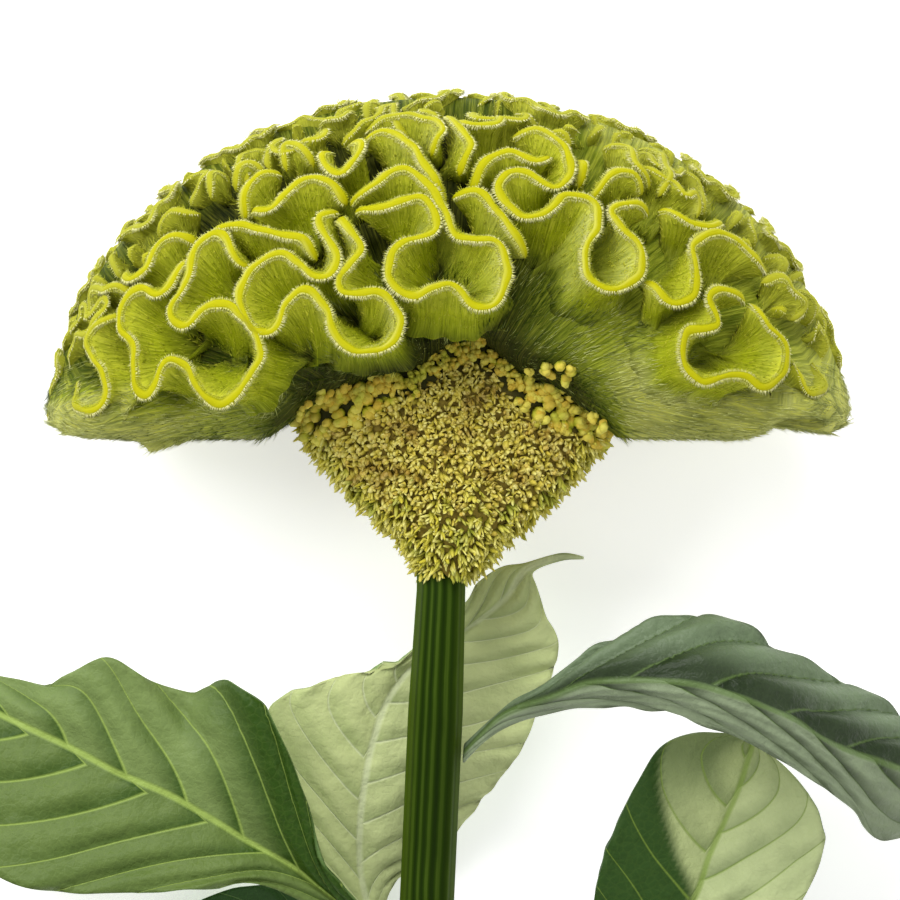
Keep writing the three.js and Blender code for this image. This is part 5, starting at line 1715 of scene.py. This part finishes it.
def stem_rings(heights, shrink, columns=STEM_COLUMNS):
    """Rings across the bend. The radius swings by the cosine of the ribs' number times the turn."""
    middle = stem_middle(heights)
    along = unit(stem_middle(heights + 0.5) - stem_middle(heights - 0.5))
    across = unit(np.cross(along, np.array([0.0, 0.0, 1.0])))
    up = np.cross(across, along)
    turn = np.linspace(0, 2 * np.pi, columns, endpoint=False)
    rib = 1.0 + RIB_HEIGHT * np.cos(STEM_RIBS * turn) + FINE_RIB_HEIGHT * np.cos(2 * STEM_RIBS * turn + 0.6)
    radius = (NECK_RADIUS + (STEM_RADIUS - NECK_RADIUS) * np.clip(-heights / NECK_LENGTH, 0, 1)) * shrink
    reach = radius[:, None] * rib[None, :]
    rings = middle[:, None] + across[:, None] * (reach * np.cos(turn))[..., None]
    return rings + up[:, None] * (reach * np.sin(turn))[..., None], turn


long_heights = np.linspace(-STEM_LENGTH, STEM_TOP_Y, STEM_ROWS)
stem_heights = np.concatenate([np.full(len(CUT_SHARES), -STEM_LENGTH), long_heights])
stem_shrink = np.concatenate([CUT_SHARES, np.ones(STEM_ROWS)])
stem_heights[len(CUT_SHARES) - 1 :] += np.linspace(CUT_EDGE, 0, STEM_ROWS + 1)
stem, stem_turn = stem_rings(stem_heights, stem_shrink)
stem[..., 2] = np.maximum(stem[..., 2], STEM_TABLE_GAP)

# %% [markdown]
# ### Finish of the stem
# The skin is dark green, with paler lines of uneven width along the ribs and long fibres between them, and
# the cut end shows pale pith. A striped image wrapped round would repeat, so the stripes are a cosine of
# the turn whose phase drifts round the stem and with the blotches.

# %% Stem colours
STEM_DARK = srgb(22, 40, 1)
STEM_MID = srgb(40, 62, 3)
STEM_LINE = srgb(66, 88, 22)
STEM_SIDE = srgb(72, 94, 8)
STEM_PITH = srgb(196, 206, 150)


def stem_material():
    """Stripes round the stem, blotches along it, and pale pith on the cut end."""
    material, tree, shader = new_material("stem green", Roughness=0.6, Specular_IOR_Level=0.05)
    turn, along = mark_value(tree, "turn"), mark_value(tree, "along")
    blotch = use_group(tree, BLOTCHES, Size=22.0)
    drift = product(tree, arithmetic(tree, "SINE", product(tree, turn, 3.0)), 1.3)
    stripe_turn = arithmetic(tree, "MULTIPLY_ADD", turn, 2.0 * STEM_RIBS, drift)
    stripe = arithmetic(tree, "COSINE", arithmetic(tree, "ADD", stripe_turn, blotch))
    stripe_share = arithmetic(tree, "MULTIPLY_ADD", stripe, 0.5, 0.5)
    stripe_stops = [(0.0, STEM_DARK), (0.6, STEM_MID), (0.9, STEM_LINE), (1.0, STEM_LINE)]
    round_stem = product(tree, turn, STEM_RADIUS)
    fibre = use_group(tree, STREAKS, Across=round_stem, Along=along, Width=0.35, Length=30.0)
    fibrous = mixed(tree, product(tree, fibre, 0.35), ramp(tree, stripe_share, stripe_stops), STEM_MID)
    to_side = arithmetic(tree, "COSINE", product(tree, turn, 2.0))
    sided = mixed(tree, stretched(tree, to_side, -0.4, 1.0, top=0.8), fibrous, STEM_SIDE)
    shaded = mixed(tree, product(tree, blotch, 0.4), sided, STEM_DARK)
    cut = mixed(tree, mark_value(tree, "cut"), shaded, STEM_PITH)
    tree.links.new(cut, shader.inputs["Base Color"])
    rib_wave = arithmetic(tree, "COSINE", product(tree, turn, float(STEM_RIBS)))
    relief = arithmetic(tree, "MULTIPLY_ADD", fibre, 0.4, product(tree, rib_wave, 0.2))
    raise_relief(tree, shader, relief, strength=0.4, distance=0.2)
    return material


is_cut = (np.arange(len(stem)) < len(CUT_SHARES) - 1).astype(float)
stem_marks = {
    "turn": tube_marks(np.tile(stem_turn, (len(stem), 1))),
    "along": tube_marks(stem[..., 1]),
    "cut": tube_marks(np.repeat(is_cut[:, None], STEM_COLUMNS, axis=1)),
}
stem_faces = tube_faces(*stem.shape[:2])
mesh_piece("stem_ribbed", tube_points(stem), stem_faces, stem_material(), ["stem"], stem_marks)

# %% [markdown]
# ## Leaves
# A leaf is a sheet between three lines in space: its left edge, its midrib and its right edge. Straight
# ribs from the midrib to each edge fill it, as a ruled surface, and the living blade departs from that
# sheet by small amounts: it is puckered between its side veins, its edge is waved, the midrib is a groove
# above and a ridge below. Bending a flat sheet with modifiers would give the arch but not the puckers. The
# veins are numbers on the mesh, so relief and colour agree everywhere.

# %% The leaves' lines
BLADE_THICKNESS = 0.7
# Each station from the stalk to the tip: left edge, midrib and right edge.
LEAF_STATIONS = {
    "leaf_left": [
        [[-11, -75, 11.4], [-10.8, -73.4, 11.4], [-10.6, -71.8, 11.4]],
        [[-16.4, -70.6, 15], [-15.4, -69, 15], [-14.6, -67.4, 15.4]],
        [[-25, -66, 19], [-22, -64, 18], [-23.8, -57, 24]],
        [[-39, -60, 24], [-32, -56.2, 22], [-29.4, -40, 31]],
        [[-52, -61.6, 27], [-40.4, -51.4, 24], [-36, -25, 33]],
        [[-64, -61.8, 28], [-48.8, -46.2, 26], [-44, -18.4, 30]],
        [[-76, -61.6, 27], [-57, -41.6, 27], [-51, -21.4, 26]],
        [[-88, -60, 25], [-66, -37.8, 27], [-60, -18.8, 28]],
        [[-97, -54, 23], [-76, -32.6, 26], [-69, -13.8, 28]],
        [[-104, -43, 20], [-88, -27, 24], [-80, -19.6, 24]],
        [[-108, -29, 16], [-100, -21.4, 18], [-95, -17.4, 19]],
        [[-112, -17.6, 12], [-111.6, -17, 12], [-111.2, -16.4, 12]],
    ],
    "leaf_back": [
        [[-10.2, -82, 5], [-9.9, -80.4, 5], [-9.8, -78.8, 5]],
        [[-16.4, -72, 7], [-14.6, -70.4, 6.6], [-13.2, -68.6, 6.6]],
        [[-24, -61, 11], [-17.6, -60, 9], [-10.4, -59.4, 6]],
        [[-31, -49, 15], [-18, -50, 12.5], [-2, -53.6, 7.5]],
        [[-35.6, -36.6, 17], [-17, -40, 15.5], [6, -44, 11]],
        [[-36.2, -24, 19], [-15, -30.4, 17.5], [11.8, -37, 14]],
        [[-27, -19.4, 21], [-12, -22.4, 19], [15.6, -31.6, 16]],
        [[-18, -17.2, 21], [-6.6, -15.4, 20], [19, -22.4, 18]],
        [[-9, -13.4, 22], [0.6, -10.2, 20.5], [21.6, -16, 19]],
        [[2.6, -3.6, 22], [7.6, -5.6, 21], [22.4, -10.6, 20]],
        [[6.6, 1.6, 22], [12.0, -1.8, 21.5], [20, -5.6, 20.5]],
        [[11.0, 4.3, 21.8], [14.2, 1.8, 21.5], [18, 0.4, 21]],
        [[15.4, 5.0, 21.5], [16.2, 4.0, 21.4], [17.2, 3.0, 21.2]],
        [[22.6, 7, 22], [22.8, 6.3, 22], [23.2, 5.6, 22]],
        [[27.4, 6.4, 23], [27.4, 6.1, 23], [27.4, 5.8, 23]],
    ],
    "leaf_right": [
        [[3.4, -31.4, 31], [3.3, -33.4, 31], [3.1, -35.2, 31]],
        [[7.2, -27.8, 34], [6.6, -29.8, 34], [5.8, -32.4, 33]],
        [[12.4, -23.4, 37], [11.4, -25.4, 38], [11.2, -28.2, 36]],
        [[19, -19.4, 42], [20.6, -21.8, 44], [21.8, -24.6, 41]],
        [[26.4, -14.8, 45], [27.8, -19, 49], [30, -23.6, 45]],
        [[35.2, -10, 46], [36, -18.2, 53], [38.2, -23.4, 48]],
        [[44.2, -6.8, 45], [45.4, -18.4, 55], [47, -25.2, 50]],
        [[51.6, -6, 44], [54.2, -20.2, 55], [56.4, -28.8, 50]],
        [[59, -8.8, 42], [61.8, -22.8, 53], [65.2, -33.4, 47]],
        [[67, -13.4, 39], [69, -26, 49], [73.6, -38.6, 43]],
        [[76.4, -18.2, 34], [77, -31, 43], [81.2, -44.4, 36]],
        [[85.8, -22.8, 28], [86.8, -34.8, 36], [87, -50.8, 28]],
        [[96, -29, 22], [97, -38, 28], [96, -49, 21]],
        [[112, -41, 16], [112, -41.8, 16.2], [112, -42.6, 16]],
    ],
    "leaf_standing": [
        [[0.6, -88.4, 6], [0.6, -90, 6], [0.6, -91.6, 6]],
        [[13.6, -83.2, 9], [15, -85, 9], [16.4, -87, 9]],
        [[24, -74.4, 12], [30, -79, 12], [36, -83.6, 13]],
        [[29, -66.4, 15], [42, -71, 14], [56, -77.6, 17]],
        [[30.2, -59.8, 18], [49.8, -63.6, 16], [69, -67.6, 21]],
        [[31.8, -53.4, 20], [53, -54.8, 18], [75.6, -55.4, 24]],
        [[34.8, -46.4, 22], [56.4, -47, 19], [76.2, -48.4, 26]],
        [[38.2, -39.8, 23], [59, -41, 20], [73.4, -42.2, 26]],
        [[43, -32.4, 23], [60.6, -36, 20], [68.8, -36.6, 24]],
        [[50, -29.4, 22], [61.6, -33, 20], [65.4, -33.6, 22]],
        [[60.4, -30, 20], [61.8, -30.6, 20], [63.2, -31.2, 20]],
    ],
    "leaf_low": [
        [[-11.5, -91.6, 5], [-11.5, -90, 5], [-11.5, -88.4, 5]],
        [[-19, -86.6, 5], [-19, -84.2, 5], [-18.6, -81.8, 5]],
        [[-28, -89, 5], [-27, -78.6, 6], [-25.6, -67.6, 7]],
        [[-40, -92.4, 4], [-39, -75.6, 7], [-36, -60.8, 9]],
        [[-54, -94, 3.4], [-52, -78, 7], [-50, -63.6, 8]],
        [[-66, -95, 3], [-64, -85, 5], [-61.6, -73, 6]],
        [[-74.6, -96.4, 2.6], [-74.4, -95.8, 2.6], [-74.2, -95.2, 2.6]],
    ],
}


# %% Darker parts of a blade
# Each function says how much of the shade shows at a place: u runs from the stalk to the tip, v from -1 at
# the left edge to 1 at the right, and y is the midrib's height.


def base_half(u, v, y):
    """The half beyond the midrib from the stalk to the middle, where the blade turns away into painted
    shade.
    """
    return smooth_step(v, 0.0, 0.05) * (1 - smooth_step(u - 0.2 * v, 0.2, 0.4))


def rolled_edge(u, v, y):
    """A strip along the left edge that is rolled over, wide at the bottom and gone further up, and a
    weaker patch at the corner above it."""
    reach = (y + 62) / 30
    strip = smooth_step(-v - reach, 0.0, 0.12) * (1 - smooth_step(reach, 0.85, 1.0))
    return np.maximum(strip, 0.6 * smooth_step(u, 0.6, 0.8) * smooth_step(-v, 0.1, 0.5))


def curled_tip(u, v, y):
    """The thin tip."""
    return smooth_step(u + 0 * v, 0.9, 0.94)


def beside_rib(u, v, y):
    """The steep inner strip of the left half, in painted shade."""
    return 0.85 * smooth_step(-v, 0.0, 0.02) * (1 - smooth_step(-v, 0.15, 0.7)) * np.ones_like(u)


def nowhere(u, v, y):
    """No part of the blade."""
    return 0 * u + 0 * v


# %% How each leaf is dressed
# Side veins on each half, height of the puckers on the left and the right half, height of long pleats on
# the right half, waves of the edge and their height, how far the shaded part stands up, and where it is.
LEAF_FORM_NAMES = ("veins", "pucker", "right_pucker", "pleats", "waves", "wave_height", "roll", "turned")
LEAF_FORMS = {
    "leaf_left": (9, 1.5, 1.5, 0.0, 3, 1.6, 0.3, base_half),
    "leaf_back": (13, 1.0, 1.0, 0.0, 3, 0.8, 0.0, curled_tip),
    "leaf_right": (8, 2.6, 0.65, 0.22, 4, 0.5, 0.0, beside_rib),
    "leaf_standing": (9, 0.7, 0.7, 0.0, 2, 1.0, 1.2, rolled_edge),
    "leaf_low": (7, 0.6, 0.6, 0.0, 2, 0.8, 0.0, nowhere),
}
LEAF_KNOTS = 9
LEAF_COLUMNS = 39
VEIN_SLANT = 1.7
VEIN_BOW = 1.3
VEIN_LAG = 0.035
VEIN_OFFSET = 0.45
PLEATS = 5
CRIMP_HEIGHT = 0.5
CRINKLE_HEIGHT = 0.25
GROOVE_DEPTH = 0.35
GROOVE_WIDTH = 1.0
RIDGE_HEIGHT = 0.9
RIDGE_WIDTH = 1.1
RIDGE_TAPER = 0.6
RIDGE_SUNK = 0.1
EDGE_THINNING = 0.45

# %% A leaf's blade


def leaf_sheet(stations, form):
    """The bare sheet: rows from stalk to tip, columns from the left edge over the midrib to the right."""
    lines = np.array(stations, float)
    left, middle, right = (rounded_path(lines[:, k], LEAF_KNOTS) for k in range(3))
    u = np.linspace(0, 1, len(middle))[:, None]
    v = np.linspace(-1, 1, LEAF_COLUMNS)[None, :]
    edge = np.where(v[..., None] < 0, left[:, None], right[:, None])
    sheet = middle[:, None] + (edge - middle[:, None]) * np.abs(v)[..., None]
    phase = form["waves"] * u + np.where(v < 0, 0.25, 0)
    sheet[..., 2] += form["wave_height"] * np.sin(np.pi * u) * v**2 * np.sin(2 * np.pi * phase)
    return sheet, u, v


def blade_relief(form, v, vein, body):
    """Heights between the veins: puckers, by the sine of pi times the vein number, pleats along the right
    half, a fine crinkle of two crossing sines, and a crimped edge."""
    out = np.abs(v)
    height = np.where(v > 0, form["right_pucker"], form["pucker"])
    relief = height * body * np.abs(np.sin(np.pi * vein)) ** 0.7 * smooth_step(out, 0.04, 0.3)
    relief += form["pleats"] * body * (v > 0) * np.sin(2 * np.pi * PLEATS * v)
    relief += CRINKLE_HEIGHT * body * np.sin(7.0 * vein + 3 * out) * np.sin(11 * out + 2 * vein)
    crimp = CRIMP_HEIGHT * body * smooth_step(out, 0.75, 1.0) * np.sin(2 * np.pi * (1.5 * vein + 0.2))
    return relief + crimp


def blade_table(stations, form):
    """The dressed blade: top and under face, each with its relief, and the midrib as a groove in one and a
    ridge under the other. Also the marks that its material reads; the vein number passes a whole at each
    side vein."""
    sheet, u, v = leaf_sheet(stations, form)
    normal = unit(np.cross(np.gradient(sheet, axis=1), np.gradient(sheet, axis=0)))
    middle = sheet[:, LEAF_COLUMNS // 2]
    run = np.concatenate([[0], np.cumsum(np.linalg.norm(np.diff(middle, axis=0), axis=1))])
    from_rib = np.linalg.norm(sheet - middle[:, None], axis=-1)
    share = (run / run[-1])[:, None] + 0 * v
    slant = VEIN_SLANT * np.abs(v) ** VEIN_BOW
    vein = form["veins"] * (share - VEIN_LAG * np.abs(v)) - slant + VEIN_OFFSET * (v < 0)
    wide = smooth_step(from_rib.max(axis=1), 2, 9)[:, None]
    body = np.sin(np.pi * np.clip(share, 0.02, 0.98)) ** 0.5 * wide
    relief = blade_relief(form, v, vein, body)
    groove = GROOVE_DEPTH * wide * np.exp(-((from_rib / GROOVE_WIDTH) ** 2))
    ridge = RIDGE_HEIGHT * (1 - RIDGE_TAPER * share) * np.exp(-((from_rib / RIDGE_WIDTH) ** 2))
    turned = form["turned"](u, v, middle[:, None, 1])
    thin = 0.5 * BLADE_THICKNESS * (1 - EDGE_THINNING * smooth_step(np.abs(v), 0.6, 1.0))
    top = sheet + normal * (relief - groove + form["roll"] * turned + thin)[..., None]
    under = sheet + normal * (relief - thin - ridge - RIDGE_SUNK)[..., None]
    for face in (top, under):
        face[..., 2] = np.maximum(face[..., 2], TABLE_GAP)
    marks = {
        "vein": np.tile(vein.ravel(), 2),
        "rib": np.tile(from_rib.ravel(), 2),
        "edge": np.tile((np.abs(v) + 0 * u).ravel(), 2),
        "half": np.tile((v + 0 * u).ravel(), 2),
        "turned": np.tile(turned.ravel(), 2),
        "face": np.repeat([1.0, 0.0], sheet.shape[0] * sheet.shape[1]),
    }
    return top, under, marks


def blade_faces(rows, columns):
    """Quads of the top, of the under face turned over, and a strip round the edge between them."""
    top = table_faces(rows, columns)
    under = rows * columns
    side = [np.arange(rows - 1) * columns, (rows - 1) * columns + np.arange(columns - 1)]
    side += [(np.arange(rows - 1, 0, -1)) * columns + columns - 1, np.arange(columns - 1, 0, -1)]
    loop = np.concatenate(side)
    following = np.roll(loop, -1)
    strip = np.stack([loop, following, following + under, loop + under], axis=-1)
    return [top, top[:, ::-1] + under, strip]


# %% [markdown]
# ### Finish of the leaves
# Seen from above a leaf is darker and glossier, seen from below it is paler and matt. Side veins are pale
# lines where the vein number passes a whole, and beside each runs a low strip of painted shade. A finer net
# fills the space between them, and the midrib is a pale line along the middle. Veins could be painted on an
# unwrapped blade, but then they would have to be fitted to the puckers. One group gives the veins, the
# strips of shade and the net, and each leaf's material sets its own colours.

# %% Vein lines and net
CELLS_IN_A_METRE = 620.0


def make_leaf_lines():
    """Line: 1 on the side veins and the midrib. Net: thin lines between small cells. Valley: painted shade
    in the low strip that follows each side vein, deepest beside the midrib."""
    outputs = ["Line", "Net", "Valley"]
    group, given, out = new_group("leaf lines", {"Vein": 0.0, "Edge": 0.0, "Rib": 0.0}, outputs)
    phase = arithmetic(group, "PINGPONG", given["Vein"], 0.5)
    width = arithmetic(group, "MULTIPLY_ADD", given["Edge"], -0.03, 0.055)
    after = stretched(group, arithmetic(group, "FRACT", given["Vein"]), 0.5, 0.0)
    inner = arithmetic(group, "MULTIPLY_ADD", given["Edge"], -0.9, 1.0)
    group.links.new(product(group, after, inner), out["Valley"])
    line, rib = stretched(group, phase, width, 0.0), stretched(group, given["Rib"], 0.95, 0.35)
    group.links.new(arithmetic(group, "MAXIMUM", line, rib), out["Line"])
    place = add_node(group, "ShaderNodeTexCoord").outputs["Object"]
    cell_inputs = {"Vector": place, "Scale": CELLS_IN_A_METRE}
    cells = add_node(group, "ShaderNodeTexVoronoi", cell_inputs, feature="DISTANCE_TO_EDGE")
    group.links.new(stretched(group, cells.outputs["Distance"], 0.14, 0.0), out["Net"])
    return group


LEAF_LINES = make_leaf_lines()


def leaf_material(name, roughness, valley_shade, left, right, vein, back, shade):
    """Left and right halves in their own green, veins with painted shade beside them, a net, and another
    green on the under face. The valley's shade is a share from 0 to 1."""
    material, tree, shader = new_material(name, Roughness=roughness, Specular_IOR_Level=0.22)
    lines = add_node(tree, "ShaderNodeGroup", node_tree=LEAF_LINES)
    for label, mark in (("Vein", "vein"), ("Edge", "edge"), ("Rib", "rib")):
        tree.links.new(mark_value(tree, mark), lines.inputs[label])
    line, net, valley = (lines.outputs[label] for label in ("Line", "Net", "Valley"))
    green = mixed(tree, stretched(tree, mark_value(tree, "half"), -0.05, 0.05), left, right)
    blotch = use_group(tree, BLOTCHES, Size=9.0)
    # Random blotches and the painted shade of the valleys darken the green.
    hollow = arithmetic(tree, "MULTIPLY_ADD", blotch, 0.22, product(tree, valley, valley_shade))
    blotched_and_shaded = mixed(tree, hollow, green, shade)
    top = mixed(tree, mark_value(tree, "turned"), blotched_and_shaded, shade)
    both_faces = mixed(tree, mark_value(tree, "face"), back, top)
    netted = mixed(tree, product(tree, net, 0.04), both_faces, vein)
    veined = mixed(tree, product(tree, line, 0.7), netted, vein)
    tree.links.new(veined, shader.inputs["Base Color"])
    crinkle = product(tree, use_group(tree, BLOTCHES, Size=3.2), 1.6)
    fine_relief = arithmetic(tree, "MULTIPLY_ADD", net, -0.15, crinkle)
    relief = arithmetic(tree, "MULTIPLY_ADD", line, -0.7, fine_relief)
    raise_relief(tree, shader, relief, strength=0.5, distance=0.4)
    return material


# Slot, roughness and shade of the valleys of each leaf.
LEAF_FINISHES = {
    "leaf_left": ("leaf_green", 0.5, 0.95),
    "leaf_back": ("leaf_pale", 0.65, 0.35),
    "leaf_right": ("leaf_dark", 0.42, 0.9),
    "leaf_standing": ("leaf_pale", 0.65, 0.45),
    "leaf_low": ("leaf_green", 0.5, 0.5),
}
# Colours of the left half, the right half, the veins, the under face and the shade.
LEAF_COLOURS = {
    "leaf_left": ((98, 118, 58), (118, 138, 78), (160, 184, 88), (110, 140, 80), (42, 72, 4)),
    "leaf_back": ((200, 210, 146), (202, 212, 150), (212, 220, 176), (132, 160, 100), (72, 104, 22)),
    "leaf_right": ((112, 130, 98), (136, 150, 118), (92, 116, 60), (136, 150, 118), (14, 32, 0)),
    "leaf_standing": ((186, 198, 138), (190, 202, 146), (128, 154, 60), (60, 92, 44), (44, 74, 22)),
    "leaf_low": ((62, 96, 46), (54, 88, 40), (116, 146, 86), (110, 140, 92), (38, 66, 28)),
}

# %% The leaves
for leaf, stations in LEAF_STATIONS.items():
    top, under, leaf_marks = blade_table(stations, dict(zip(LEAF_FORM_NAMES, LEAF_FORMS[leaf])))
    slot_name, roughness, valley_shade = LEAF_FINISHES[leaf]
    greens = [srgb(*colour) for colour in LEAF_COLOURS[leaf]]
    finish = leaf_material(leaf.replace("_", " "), roughness, valley_shade, *greens)
    leaf_points = np.concatenate([top.reshape(-1, 3), under.reshape(-1, 3)])
    leaf_faces = blade_faces(*top.shape[:2])
    mesh_piece(leaf + "_blade", leaf_points, leaf_faces, finish, [leaf], leaf_marks)
